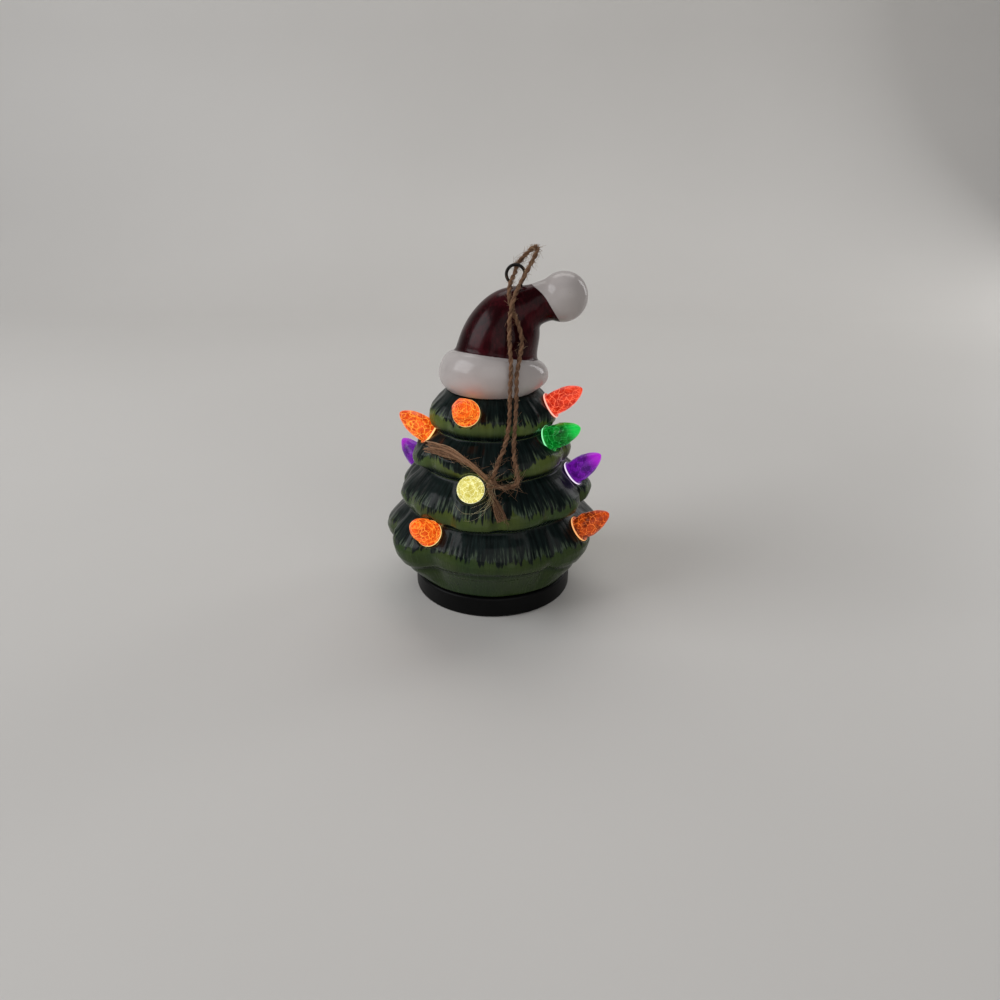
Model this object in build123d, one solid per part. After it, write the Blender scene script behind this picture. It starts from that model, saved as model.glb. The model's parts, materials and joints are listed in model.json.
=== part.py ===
from build123d import *
import os
from bisect import bisect_right
from math import acos, cos, degrees, hypot, pi, radians, sin, tan
from typing import NamedTuple

# Glazed ceramic Christmas tree ornament that wears a bent hat and is lit from a plastic base.
# Millimetres, +Z up. The front of the tree faces -Y, and the origin is the middle of the circle
# that the base stands on.

# Light base, seen as the black band under the tree
BASE_HEIGHT = 6.5
BASE_WALL = 1.8
BASE_EDGE_ROUND = 0.8
STANDING_RIM_WIDTH = 2.5
STANDING_RIM_HEIGHT = 1.2
FLOOR_THICKNESS = 1.6

# Turret of the light base, which plugs into the hollow foot of the tree
TURRET_WALL = 1.5
TURRET_COLLAR_GAP = 0.32
TURRET_FLANGE_THICKNESS = 1.6
TURRET_DECK_THICKNESS = 1.5
TURRET_FIT = 0.15
GASKET_RISE = 3.0
GASKET_HEIGHT = 2.4
GASKET_GROOVE_DEPTH = 0.5
GASKET_CLEARANCE = 0.3

# Screws that hold the turret to the cup
SCREW_RADIUS = 0.8
SCREW_HEAD_RADIUS = 1.5
SCREW_HEAD_HEIGHT = 0.7
SCREW_LENGTH = 4.2
SCREW_BOSS_RADIUS = 1.6
SCREW_BOSS_MARGIN = 0.3
SCREW_HOLE_CLEARANCE = 0.1
SCREW_AZIMUTHS = (45, 135, 225, 315)

# Three button cells in a stack, their contacts and the cradle round them
CELL_COUNT = 3
CELL_RADIUS = 5.8
CELL_LENGTH = 5.4
CELL_CAP_RADIUS = 4.6
CELL_CAP_HEIGHT = 0.3
CELL_CLEARANCE = 0.25
CONTACT_THICKNESS = 0.4
CONTACT_WIDTH = 5.0
CONTACT_RISE = 0.8
CONTACT_TAB_WIDTH = 2.0
CONTACT_SLOT_CLEARANCE = 0.15
LEAF_DEPTH = 1.6
CRADLE_WALL = 1.2
CRADLE_ROOF = 1.0
BAY_BACKSET = 4.0

# Round bayonet door under the cells
DOOR_GAP = 0.25
DOOR_MARGIN = 0.3
LUG_COUNT = 3
LUG_REACH = 1.1
LUG_THICKNESS = 0.9
LUG_GAP = 0.1
LUG_SPAN = 30
LUG_NOTCH_SPAN = 36
LUG_PARK_ANGLE = 60
COIN_SLOT_LENGTH = 12.0
COIN_SLOT_WIDTH = 1.8
COIN_SLOT_DEPTH = 0.7
COLLAR_WALL = 1.0
COLLAR_ROOF = 0.9

# Slide switch at the front of the floor
SWITCH_LENGTH = 8.6
SWITCH_WIDTH = 3.6
SWITCH_HEIGHT = 3.4
SWITCH_COLLAR_GAP = 2.0
SLIDER_LENGTH = 2.6
SLIDER_WIDTH = 1.6
SLIDER_HEIGHT = 1.4
SLIDER_STEM_LENGTH = 1.8
SLIDER_TRAVEL = 2.0
SLIDER_GAP = 0.15
SLIDER_TABLE_GAP = 0.4

# Circuit board, lamps and wires
BOARD_THICKNESS = 1.0
BOARD_BACKSET = 1.5
BOARD_GAP = 3.4
BOARD_POST_RADIUS = 1.2
BOARD_POST_HEIGHT = 1.2
BOARD_POST_INSET = 2.0
LED_RADIUS = 1.5
LED_FLANGE_RADIUS = 1.9
LED_FLANGE_HEIGHT = 1.0
LED_HEIGHT = 5.3
LED_CIRCLE_RADIUS = 7.5
LED_DECK_GAP = 0.2
LED_HOLE_CLEARANCE = 0.25
LED_AZIMUTHS = (90, 210, 330)
LEG_RADIUS = 0.25
LEG_PITCH = 2.0
LEG_STUB = 0.8
LEG_HOLE_CLEARANCE = 0.1
RESISTOR_LENGTH = 3.2
RESISTOR_WIDTH = 1.6
RESISTOR_HEIGHT = 0.7
RESISTOR_LED_GAP = 1.4
LEAD_RADIUS = 0.5
LEAD_PITCH = 5.0
LEAD_BEND_RADIUS = 1.5
LEAD_SHIFT = 4.0

# Foot and hollow of the ceramic tree
FOOT_WALL = 3.8
FOOT_GAP = 1.2
CERAMIC_WALL = 3.2

# Four tiers of boughs, from the lowest up: the widest point of the lobes, how far the notches between
# lobes stand back, the height from the neck below to the rim and from the rim to the neck above
LOW_RIM_RADIUS = 34.0
LOW_LOBE_DEPTH = 3.8
LOW_UNDER_HEIGHT = 13.5
LOW_SLOPE_HEIGHT = 9.3
LOW_NECK_RADIUS = 26.2
THIRD_RIM_RADIUS = 30.4
THIRD_LOBE_DEPTH = 2.6
THIRD_UNDER_HEIGHT = 3.7
THIRD_SLOPE_HEIGHT = 9.6
THIRD_NECK_RADIUS = 21.5
SECOND_RIM_RADIUS = 24.5
SECOND_LOBE_DEPTH = 2.0
SECOND_UNDER_HEIGHT = 4.0
SECOND_SLOPE_HEIGHT = 7.2
SECOND_NECK_RADIUS = 17.4
TOP_RIM_RADIUS = 19.8
TOP_LOBE_DEPTH = 1.6
TOP_UNDER_HEIGHT = 3.6
TOP_SLOPE_HEIGHT = 7.6
TOP_NECK_RADIUS = 13.4

# Azimuth of the notch at the left of each lobe, clockwise from the front as seen from below, with
# how far that lobe swells as a share of the tier's lobe depth
LOW_LOBE_SHARES = ((-76, 1.05), (-38, 0.5), (36, 0.85), (76, 1.0), (116, 0.9), (158, 1.0), (202, 0.9),
                   (244, 1.1))
THIRD_LOBE_SHARES = ((-90, 0.5), (-58, 0.7), (-26, 0.8), (4, 0.9), (37, 1.1), (70, 1.3), (104, 0.9),
                     (140, 1.0), (176, 0.9), (212, 0.6), (240, 0.5))
SECOND_LOBE_SHARES = ((-90, 1.4), (-51, 0.9), (-12, 0.9), (21, 1.0), (68, 1.0), (108, 0.9), (150, 1.0),
                      (190, 0.8), (230, 1.0))
TOP_LOBE_SHARES = ((-88, 1.0), (-43, 0.9), (-8, 0.7), (20, 0.9), (52, 1.0), (95, 0.9), (140, 1.0),
                   (185, 0.8), (228, 0.9))
LOBE_ROUND_POWER = 0.65
LOBE_SAMPLES = 72

# Outline of a tier as height share, then the share of the way from neck to rim at a lobe and at a notch
FOOT_SHARES = ((0.30, 0.38, 0.10), (0.59, 0.74, 0.33), (0.81, 0.94, 0.79))
UNDER_SHARES = ((0.20, 0.42, 0.15), (0.58, 0.88, 0.75))
SLOPE_SHARES = ((0.27, 0.90, 0.93), (0.62, 0.53, 0.56), (0.85, 0.21, 0.22))

# Light pegs: flange, flame-shaped body and the peg that plugs into the ceramic
BULB_FLANGE_RADIUS = 4.0
BULB_FLANGE_THICKNESS = 0.7
BULB_BODY_RADIUS = 3.6
BULB_BODY_LENGTH = 10.4
BULB_PEG_RADIUS = 2.0
BULB_PEG_LENGTH = 7.0
BULB_PEG_CHAMFER = 0.4
BULB_BODY_SHARES = ((0.90, 0.0), (1.0, 0.24), (0.80, 0.62), (0.46, 0.88))
BULB_FLARE_SHARE = 0.35
BULB_HOLE_CLEARANCE = 0.2
BULB_SEAT_CLEARANCE = 0.35
BULB_SEAT_SINK = 0.6
BULB_CUT_LENGTH = 16.0

# Rows of pegs from the top: azimuth, share of the way up the slope, elevation, turn away from radial
ROW_PLACE_SHARES = (
    ((-25, 0.58, 28, 18), (78, 0.42, 32, 0), (142, 0.55, 34, 0), (205, 0.55, 34, 0)),
    ((-78, 0.80, 38, -4), (62, 0.76, 27, 0), (170, 0.70, 34, 0)),
    ((-15, 0.86, 27, 12), (78, 0.68, 40, -3), (165, 0.65, 38, 0), (238, 0.26, 36, -6)),
    ((-41, 0.74, 38, 14), (61, 0.56, 36, 12), (140, 0.60, 38, 0), (220, 0.60, 38, 0)),
)

# Hat: rolled brim, bent hollow cone and ball
BRIM_RADIUS = 16.3
BRIM_HEIGHT = 9.8
BRIM_SHIFT = 1.2
BRIM_TILT = 7.0
BRIM_FRONT_TILT = 9.0
BRIM_SHARES = ((0.12, 0.91), (0.38, 1.0), (0.70, 0.97), (0.91, 0.88))
HAT_RADIUS = 12.5
HAT_HEIGHT = 20.2
HAT_WALL = 2.6
HAT_LEFT_SHARES = ((-0.86, 0.26), (-0.58, 0.58), (-0.24, 0.80), (0.18, 0.94), (0.59, 0.98), (0.80, 1.00))
HAT_RIGHT_SHARES = ((1.02, 0.23), (1.02, 0.38), (1.03, 0.42), (1.09, 0.45), (1.17, 0.47), (1.26, 0.49))
POMPOM_RADIUS = 7.2
POMPOM_REACH = 6.5
POMPOM_RISE_ANGLE = 14
POMPOM_NECK_SHARE = 0.9

# Wire eye in the top of the hat
WIRE_RADIUS = 0.45
LOOP_WIDTH = 5.2
LOOP_FOOT_WIDTH = 3.0
LOOP_BEND_RADIUS = 1.0
LOOP_SHIFT = 5.6
LOOP_DEPTH = 3.4
WIRE_HOLE_CLEARANCE = 0.05

# Jute twine: a loop through the wire eye, knotted in front of the tree, with two loose tails
TWINE_RADIUS = 0.65
TAIL_RADIUS = 0.85
KNOT_RADIUS = 1.7
KNOT_PLACE = (0.0, -26.5, 44.6)
TWINE_LOOP_POINTS = (
    (0.3, -26.0, 45.6), (1.4, -25.0, 49.6), (3.6, -23.0, 53.8), (5.0, -20.9, 59.4), (5.2, -17.5, 69.2),
    (5.5, -15.9, 76.0), (5.0, -13.2, 81.6), (4.9, -11.5, 86.6), (5.7, -9.6, 91.2), (7.4, -5.8, 94.9),
    (9.4, -2.6, 97.8), (11.3, -1.3, 101.2), (13.0, -0.5, 104.2), (12.2, 1.6, 105.2), (9.6, 2.5, 102.6),
    (7.1, 2.2, 100.0), (6.7, 0.0, 97.8), (5.4, -2.6, 96.0), (4.8, -5.6, 93.8), (5.2, -8.2, 90.9),
    (6.4, -10.1, 88.0), (7.8, -10.7, 84.9), (8.6, -11.6, 81.4), (8.1, -13.4, 78.0), (6.9, -16.3, 73.2),
    (7.0, -17.6, 67.8), (6.5, -20.9, 58.8), (6.1, -23.0, 53.0), (6.8, -24.8, 48.6), (7.6, -25.5, 45.4),
    (6.4, -26.0, 43.6), (3.4, -26.7, 43.4), (0.9, -26.6, 44.2),
)
TAIL_LEFT_POINTS = (
    (-1.1, -26.2, 45.9), (-4.9, -24.9, 49.4), (-8.8, -23.3, 51.2), (-12.2, -20.8, 52.2), (-16.0, -17.5, 52.0),
    (-19.8, -14.0, 51.4),
)
TAIL_LOW_POINTS = ((-0.5, -27.0, 43.1), (0.8, -27.3, 40.4), (2.0, -28.9, 37.4), (3.2, -30.2, 34.6))
BEND_SHARE = 0.45

OVERRUN = 1.0


class Tier(NamedTuple):
    rim_radius: float
    lobe_depth: float
    under_height: float
    slope_height: float
    neck_radius: float
    lobes: tuple


class Level(NamedTuple):
    height: float
    lobe_radius: float
    notch_radius: float
    lobes: tuple


TIERS = (
    Tier(LOW_RIM_RADIUS, LOW_LOBE_DEPTH, LOW_UNDER_HEIGHT, LOW_SLOPE_HEIGHT, LOW_NECK_RADIUS,
         LOW_LOBE_SHARES),
    Tier(THIRD_RIM_RADIUS, THIRD_LOBE_DEPTH, THIRD_UNDER_HEIGHT, THIRD_SLOPE_HEIGHT, THIRD_NECK_RADIUS,
         THIRD_LOBE_SHARES),
    Tier(SECOND_RIM_RADIUS, SECOND_LOBE_DEPTH, SECOND_UNDER_HEIGHT, SECOND_SLOPE_HEIGHT, SECOND_NECK_RADIUS,
         SECOND_LOBE_SHARES),
    Tier(TOP_RIM_RADIUS, TOP_LOBE_DEPTH, TOP_UNDER_HEIGHT, TOP_SLOPE_HEIGHT, TOP_NECK_RADIUS,
         TOP_LOBE_SHARES),
)

# Heights inside the light base, each standing on the one before
FLOOR_TOP = STANDING_RIM_HEIGHT + FLOOR_THICKNESS
DOOR_TOP = FLOOR_TOP + LUG_GAP + LUG_THICKNESS
COLLAR_TOP = DOOR_TOP + LUG_GAP + COLLAR_ROOF
CELL_AXIS_Z = max(DOOR_TOP, COLLAR_TOP - CELL_CLEARANCE) + CELL_CLEARANCE + CELL_RADIUS
ROOF_TOP = CELL_AXIS_Z + CELL_RADIUS + CELL_CLEARANCE + CRADLE_ROOF
BOARD_BOTTOM = ROOF_TOP + BOARD_POST_HEIGHT
BOARD_TOP = BOARD_BOTTOM + BOARD_THICKNESS
DECK_BOTTOM = BOARD_TOP + LED_FLANGE_HEIGHT + LED_DECK_GAP
TURRET_TOP = DECK_BOTTOM + TURRET_DECK_THICKNESS
FLANGE_BOTTOM = BASE_HEIGHT - TURRET_FLANGE_THICKNESS

# Plan of the battery bay
BAY_LENGTH = CELL_COUNT * CELL_LENGTH + CONTACT_THICKNESS + LEAF_DEPTH
BAY_WIDTH = 2 * (CELL_RADIUS + CELL_CLEARANCE)
DOOR_OPENING = hypot(BAY_LENGTH / 2, BAY_WIDTH / 2) + DOOR_MARGIN
LUG_RADIUS = DOOR_OPENING + LUG_REACH
COLLAR_RADIUS = LUG_RADIUS + DOOR_GAP + COLLAR_WALL
SWITCH_FORWARD = COLLAR_RADIUS - BAY_BACKSET + SWITCH_COLLAR_GAP + SWITCH_WIDTH / 2

# Plan of what goes round the bay: the turret clears the collar of the door, the cup clears the screws
TURRET_INNER_RADIUS = BAY_BACKSET + COLLAR_RADIUS + TURRET_COLLAR_GAP
TURRET_RADIUS = TURRET_INNER_RADIUS + TURRET_WALL
SCREW_CIRCLE = TURRET_RADIUS + SCREW_BOSS_MARGIN + SCREW_BOSS_RADIUS
CUP_INNER_RADIUS = SCREW_CIRCLE + SCREW_BOSS_RADIUS + SCREW_BOSS_MARGIN
BASE_RADIUS = CUP_INNER_RADIUS + BASE_WALL
FOOT_INNER_RADIUS = TURRET_RADIUS + FOOT_GAP
FOOT_RADIUS = FOOT_INNER_RADIUS + FOOT_WALL
BOARD_RADIUS = TURRET_INNER_RADIUS - BOARD_BACKSET - BOARD_GAP
RESISTOR_BACKSET = LED_CIRCLE_RADIUS + LED_FLANGE_RADIUS + RESISTOR_LED_GAP + RESISTOR_WIDTH / 2


def drum(radius, bottom, top, x=0, y=0):
    """An upright cylinder between two heights."""
    return Pos(x, y, bottom) * Cylinder(radius, top - bottom, align=(Align.CENTER, Align.CENTER, Align.MIN))


def block(length, width, bottom, top, x=0, y=0):
    """An upright box between two heights."""
    return Pos(x, y, bottom) * Box(length, width, top - bottom, align=(Align.CENTER, Align.CENTER, Align.MIN))


def around(radius, azimuth):
    """A place on a circle, by its angle from +X."""
    return radius * cos(radians(azimuth)), radius * sin(radians(azimuth))


def between(start, end, share):
    return start + (end - start) * share


def sector(inner, outer, bottom, top, middle, span, x=0, y=0):
    """A slice of a ring, as wide as its angle."""
    ring = drum(outer, bottom, top) - drum(inner, bottom, top)
    reach = outer / cos(radians(span / 2))
    left = around(reach, middle - span / 2)
    right = around(reach, middle + span / 2)
    wedge = Pos(0, 0, bottom) * extrude(make_face(Polyline((0, 0), left, right, close=True)), top - bottom)
    return Pos(x, y, 0) * (ring & wedge)


def base_cup():
    cup = drum(BASE_RADIUS, 0, BASE_HEIGHT)
    cup = fillet(cup.edges().filter_by(GeomType.CIRCLE), BASE_EDGE_ROUND)
    cup -= drum(CUP_INNER_RADIUS, FLOOR_TOP, BASE_HEIGHT + OVERRUN)
    cup -= drum(BASE_RADIUS - STANDING_RIM_WIDTH, -OVERRUN, STANDING_RIM_HEIGHT)
    for azimuth in SCREW_AZIMUTHS:
        x, y = around(SCREW_CIRCLE, azimuth)
        cup += drum(SCREW_BOSS_RADIUS, FLOOR_TOP, FLANGE_BOTTOM, x, y)
    cup += drum(COLLAR_RADIUS, FLOOR_TOP, COLLAR_TOP, 0, BAY_BACKSET)
    cup += block(BAY_LENGTH + 2 * CRADLE_WALL, BAY_WIDTH + 2 * CRADLE_WALL, COLLAR_TOP, ROOF_TOP,
                 0, BAY_BACKSET)
    for x in (-1, 1):
        for y in (-1, 1):
            cup += drum(BOARD_POST_RADIUS, ROOF_TOP, BOARD_BOTTOM, x * (BAY_LENGTH / 2 - BOARD_POST_INSET),
                        BAY_BACKSET + y * (BAY_WIDTH / 2 - BOARD_POST_INSET))
    cup -= drum(DOOR_OPENING, 0, DOOR_TOP, 0, BAY_BACKSET)
    cup -= drum(LUG_RADIUS + DOOR_GAP, FLOOR_TOP, DOOR_TOP + LUG_GAP, 0, BAY_BACKSET)
    for lug in range(LUG_COUNT):
        middle = lug * 360 / LUG_COUNT + LUG_PARK_ANGLE
        cup -= sector(0, LUG_RADIUS + DOOR_GAP, 0, FLOOR_TOP + LUG_GAP, middle, LUG_NOTCH_SPAN,
                      0, BAY_BACKSET)
    cup -= block(BAY_LENGTH, BAY_WIDTH, FLOOR_TOP, ROOF_TOP - CRADLE_ROOF, 0, BAY_BACKSET)
    for x in contact_tab_places():
        cup -= contact_slot(x, FLOOR_TOP, ROOF_TOP + OVERRUN)
    for azimuth in SCREW_AZIMUTHS:
        x, y = around(SCREW_CIRCLE, azimuth)
        cup -= drum(SCREW_RADIUS, BASE_HEIGHT - SCREW_LENGTH, BASE_HEIGHT, x, y)
    slot = SLIDER_STEM_LENGTH + SLIDER_TRAVEL + 2 * SLIDER_GAP
    cup -= block(slot, SLIDER_WIDTH + 2 * SLIDER_GAP, 0, FLOOR_TOP + OVERRUN, 0, -SWITCH_FORWARD)
    return cup


def contact_tab_places():
    """Middle of the strip that each battery contact presses against the end of the bay."""
    end = (BAY_LENGTH - CONTACT_THICKNESS) / 2
    return -end, end


def contact_slot(x, bottom, top):
    """Slot for the tab of a battery contact."""
    length = CONTACT_THICKNESS + 2 * CONTACT_SLOT_CLEARANCE
    return block(length, CONTACT_TAB_WIDTH + 2 * CONTACT_SLOT_CLEARANCE, bottom, top, x, BAY_BACKSET)


def light_turret():
    turret = drum(CUP_INNER_RADIUS - TURRET_FIT, FLANGE_BOTTOM, BASE_HEIGHT)
    turret += drum(TURRET_RADIUS, FLANGE_BOTTOM, TURRET_TOP)
    turret -= drum(TURRET_INNER_RADIUS, FLANGE_BOTTOM, DECK_BOTTOM)
    groove_bottom = BASE_HEIGHT + GASKET_RISE
    groove = drum(TURRET_RADIUS + OVERRUN, groove_bottom, groove_bottom + GASKET_HEIGHT)
    groove -= drum(TURRET_RADIUS - GASKET_GROOVE_DEPTH, groove_bottom, groove_bottom + GASKET_HEIGHT)
    turret -= groove
    for x, y in led_places():
        turret -= drum(LED_RADIUS + LED_HOLE_CLEARANCE, DECK_BOTTOM, TURRET_TOP + OVERRUN, x, y)
    for azimuth in SCREW_AZIMUTHS:
        x, y = around(SCREW_CIRCLE, azimuth)
        turret -= drum(SCREW_RADIUS + SCREW_HOLE_CLEARANCE, FLANGE_BOTTOM, BASE_HEIGHT, x, y)
        turret -= screw_head(SCREW_HOLE_CLEARANCE, x, y)
    return turret


def screw_head(clearance, x, y):
    """Countersunk head, flush with the flange that the tree stands on."""
    head = Cone(SCREW_RADIUS + clearance, SCREW_HEAD_RADIUS + clearance, SCREW_HEAD_HEIGHT,
                align=(Align.CENTER, Align.CENTER, Align.MAX))
    return Pos(x, y, BASE_HEIGHT) * head


def turret_screws():
    screws = []
    for azimuth in SCREW_AZIMUTHS:
        x, y = around(SCREW_CIRCLE, azimuth)
        screws.append(drum(SCREW_RADIUS, BASE_HEIGHT - SCREW_LENGTH, BASE_HEIGHT, x, y) + screw_head(0, x, y))
    return Compound(children=screws)


def gasket():
    bottom = BASE_HEIGHT + GASKET_RISE
    ring = drum(FOOT_INNER_RADIUS - GASKET_CLEARANCE, bottom, bottom + GASKET_HEIGHT)
    return ring - drum(TURRET_RADIUS - GASKET_GROOVE_DEPTH, bottom, bottom + GASKET_HEIGHT)


def cell(index):
    """Button cell: wide can with the narrower negative cap towards the leaf contact."""
    can = Cylinder(CELL_RADIUS, CELL_LENGTH - CELL_CAP_HEIGHT, align=(Align.CENTER, Align.CENTER, Align.MIN))
    cap = Cylinder(CELL_CAP_RADIUS, CELL_CAP_HEIGHT, align=(Align.CENTER, Align.CENTER, Align.MAX))
    start = -BAY_LENGTH / 2 + LEAF_DEPTH + index * CELL_LENGTH + CELL_CAP_HEIGHT
    return Pos(start, BAY_BACKSET, CELL_AXIS_Z) * Rot(0, 90, 0) * (can + cap)


def contact_strip(x):
    """Upright strip against the end of the bay, with a tab up through the roof to the board."""
    low = CELL_AXIS_Z - CELL_RADIUS + CONTACT_RISE
    strip = block(CONTACT_THICKNESS, CONTACT_WIDTH, low, ROOF_TOP - CRADLE_ROOF, x, BAY_BACKSET)
    return strip + block(CONTACT_THICKNESS, CONTACT_TAB_WIDTH, CELL_AXIS_Z, BOARD_TOP, x, BAY_BACKSET)


def contact_leaf():
    x = contact_tab_places()[0]
    inner = x + CONTACT_THICKNESS / 2
    tip = -BAY_LENGTH / 2 + LEAF_DEPTH
    low = CELL_AXIS_Z - CELL_RADIUS + CONTACT_RISE
    outline = Polyline(
        (inner, 0, low),
        (tip, 0, CELL_AXIS_Z - CONTACT_THICKNESS),
        (tip, 0, CELL_AXIS_Z + CONTACT_THICKNESS),
        (tip - CONTACT_THICKNESS, 0, CELL_AXIS_Z + CONTACT_THICKNESS),
        (tip - CONTACT_THICKNESS, 0, CELL_AXIS_Z),
        (inner, 0, low + 2 * CONTACT_THICKNESS),
        close=True,
    )
    leaf = extrude(make_face(outline), CONTACT_WIDTH / 2, dir=(0, 1, 0), both=True)
    return contact_strip(x) + Pos(0, BAY_BACKSET, 0) * leaf


def contact_plate():
    return contact_strip(contact_tab_places()[1])


def battery_door():
    radius = DOOR_OPENING - DOOR_GAP
    door = drum(radius, STANDING_RIM_HEIGHT, DOOR_TOP, 0, BAY_BACKSET)
    for lug in range(LUG_COUNT):
        door += sector(radius - LUG_REACH, LUG_RADIUS, FLOOR_TOP + LUG_GAP, DOOR_TOP, lug * 360 / LUG_COUNT,
                       LUG_SPAN, 0, BAY_BACKSET)
    slot_top = STANDING_RIM_HEIGHT + COIN_SLOT_DEPTH
    return door - block(COIN_SLOT_LENGTH, COIN_SLOT_WIDTH, 0, slot_top, 0, BAY_BACKSET)


def switch_body():
    body = block(SWITCH_LENGTH, SWITCH_WIDTH, FLOOR_TOP, FLOOR_TOP + SWITCH_HEIGHT, 0, -SWITCH_FORWARD)
    channel = SLIDER_LENGTH + SLIDER_TRAVEL + 2 * SLIDER_GAP
    roof = FLOOR_TOP + SLIDER_HEIGHT + 2 * SLIDER_GAP
    return body - block(channel, SLIDER_WIDTH + 2 * SLIDER_GAP, FLOOR_TOP, roof, 0, -SWITCH_FORWARD)


def switch_slider():
    x = -SLIDER_TRAVEL / 2
    low = FLOOR_TOP + SLIDER_GAP
    top = low + SLIDER_HEIGHT
    slider = block(SLIDER_LENGTH, SLIDER_WIDTH, low, top, x, -SWITCH_FORWARD)
    return slider + block(SLIDER_STEM_LENGTH, SLIDER_WIDTH, SLIDER_TABLE_GAP, top, x, -SWITCH_FORWARD)


def led_places():
    return [around(LED_CIRCLE_RADIUS, azimuth) for azimuth in LED_AZIMUTHS]


def leg_places():
    return [(x + side * LEG_PITCH / 2, y) for x, y in led_places() for side in (-1, 1)]


def circuit_board():
    board = drum(BOARD_RADIUS, BOARD_BOTTOM, BOARD_TOP, 0, BOARD_BACKSET)
    for x, y in leg_places():
        board -= drum(LEG_RADIUS + LEG_HOLE_CLEARANCE, BOARD_BOTTOM, BOARD_TOP, x, y)
    for x in contact_tab_places():
        board -= contact_slot(x, BOARD_BOTTOM, BOARD_TOP)
    return board


def led(place):
    x, y = place
    lamp = drum(LED_FLANGE_RADIUS, BOARD_TOP, BOARD_TOP + LED_FLANGE_HEIGHT, x, y)
    dome_z = BOARD_TOP + LED_HEIGHT - LED_RADIUS
    return lamp + drum(LED_RADIUS, BOARD_TOP, dome_z, x, y) + Pos(x, y, dome_z) * Sphere(LED_RADIUS)


def led_legs():
    low = BOARD_BOTTOM - LEG_STUB
    return Compound(children=[drum(LEG_RADIUS, low, BOARD_TOP, x, y) for x, y in leg_places()])


def resistor():
    return block(RESISTOR_LENGTH, RESISTOR_WIDTH, BOARD_TOP, BOARD_TOP + RESISTOR_HEIGHT, 0, RESISTOR_BACKSET)


def switch_lead(side):
    """Wire from the top of the switch to the underside of the board."""
    x = side * LEAD_PITCH / 2
    start = FLOOR_TOP + SWITCH_HEIGHT
    middle = (start + BOARD_BOTTOM) / 2
    path = FilletPolyline(
        (x, -SWITCH_FORWARD, start),
        (x, -SWITCH_FORWARD, middle),
        (x, -SWITCH_FORWARD + LEAD_SHIFT, middle + LEAD_SHIFT / 2),
        (x, -SWITCH_FORWARD + LEAD_SHIFT, BOARD_BOTTOM),
        radius=LEAD_BEND_RADIUS,
    )
    return sweep(Plane((x, -SWITCH_FORWARD, start)) * Circle(LEAD_RADIUS), path)


def neck_heights():
    """Height of the neck under each tier, and of the top of the tree."""
    heights = [BASE_HEIGHT]
    for tier in TIERS:
        heights.append(heights[-1] + tier.under_height + tier.slope_height)
    return heights


def tree_levels():
    """Levels of the tree's outside, from the foot to the seat of the hat."""
    levels = [Level(BASE_HEIGHT, FOOT_RADIUS, FOOT_RADIUS, LOW_LOBE_SHARES)]
    neck = FOOT_RADIUS
    for tier, bottom in zip(TIERS, neck_heights()):
        rim_z = bottom + tier.under_height
        notch = tier.rim_radius - tier.lobe_depth
        under = FOOT_SHARES if tier is TIERS[0] else UNDER_SHARES
        for height, lobe, dip in under:
            levels.append(Level(between(bottom, rim_z, height), between(neck, tier.rim_radius, lobe),
                                between(neck, notch, dip), tier.lobes))
        levels.append(Level(rim_z, tier.rim_radius, notch, tier.lobes))
        top_z = rim_z + tier.slope_height
        neck = tier.neck_radius
        for height, lobe, dip in SLOPE_SHARES:
            levels.append(Level(between(rim_z, top_z, height), between(neck, tier.rim_radius, lobe),
                                between(neck, notch, dip), tier.lobes))
        levels.append(Level(top_z, neck, neck, tier.lobes))
    return levels


def level_radius(level, azimuth):
    """Radius of one level at an azimuth: lobes swell between notches."""
    starts = [start for start, _ in level.lobes]
    turned = (azimuth - starts[0]) % 360 + starts[0]
    index = bisect_right(starts, turned) - 1
    end = starts[index + 1] if index + 1 < len(starts) else starts[0] + 360
    bump = sin(pi * (turned - starts[index]) / (end - starts[index])) ** LOBE_ROUND_POWER
    return between(level.notch_radius, level.lobe_radius, level.lobes[index][1] * bump)


def surface_radius(azimuth, height):
    """Radius of the tree's outside at an azimuth and a height."""
    levels = tree_levels()
    for low, high in zip(levels, levels[1:]):
        if low.height <= height <= high.height:
            share = (height - low.height) / (high.height - low.height)
            return between(level_radius(low, azimuth), level_radius(high, azimuth), share)
    return levels[-1].lobe_radius


def level_face(level):
    points = []
    for step in range(LOBE_SAMPLES):
        azimuth = step * 360 / LOBE_SAMPLES
        radius = level_radius(level, azimuth)
        points.append((radius * sin(radians(azimuth)), -radius * cos(radians(azimuth)), level.height))
    return Face(Wire([Spline(*points, periodic=True)]))


def tree_cavity():
    """Hollow of the tree, one wall inside the notches and necks, straight where the turret plugs in."""
    outline = [(0, BASE_HEIGHT), (FOOT_INNER_RADIUS, BASE_HEIGHT)]
    neck = FOOT_RADIUS
    for tier, bottom in zip(TIERS, neck_heights()):
        rim_z = bottom + tier.under_height
        if tier is TIERS[0]:
            outline.append((FOOT_INNER_RADIUS, rim_z))
        else:
            outline.append((neck - CERAMIC_WALL, bottom))
        outline.append((tier.rim_radius - tier.lobe_depth - CERAMIC_WALL, rim_z + tier.slope_height / 4))
        neck = tier.neck_radius
    outline.append((neck - CERAMIC_WALL, neck_heights()[-1]))
    outline.append((0, neck_heights()[-1]))
    profile = make_face(Polyline(*[(x, 0, z) for x, z in outline], close=True))
    return revolve(profile, Axis.Z)


class Seat(NamedTuple):
    name: str
    plane: Plane


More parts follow.
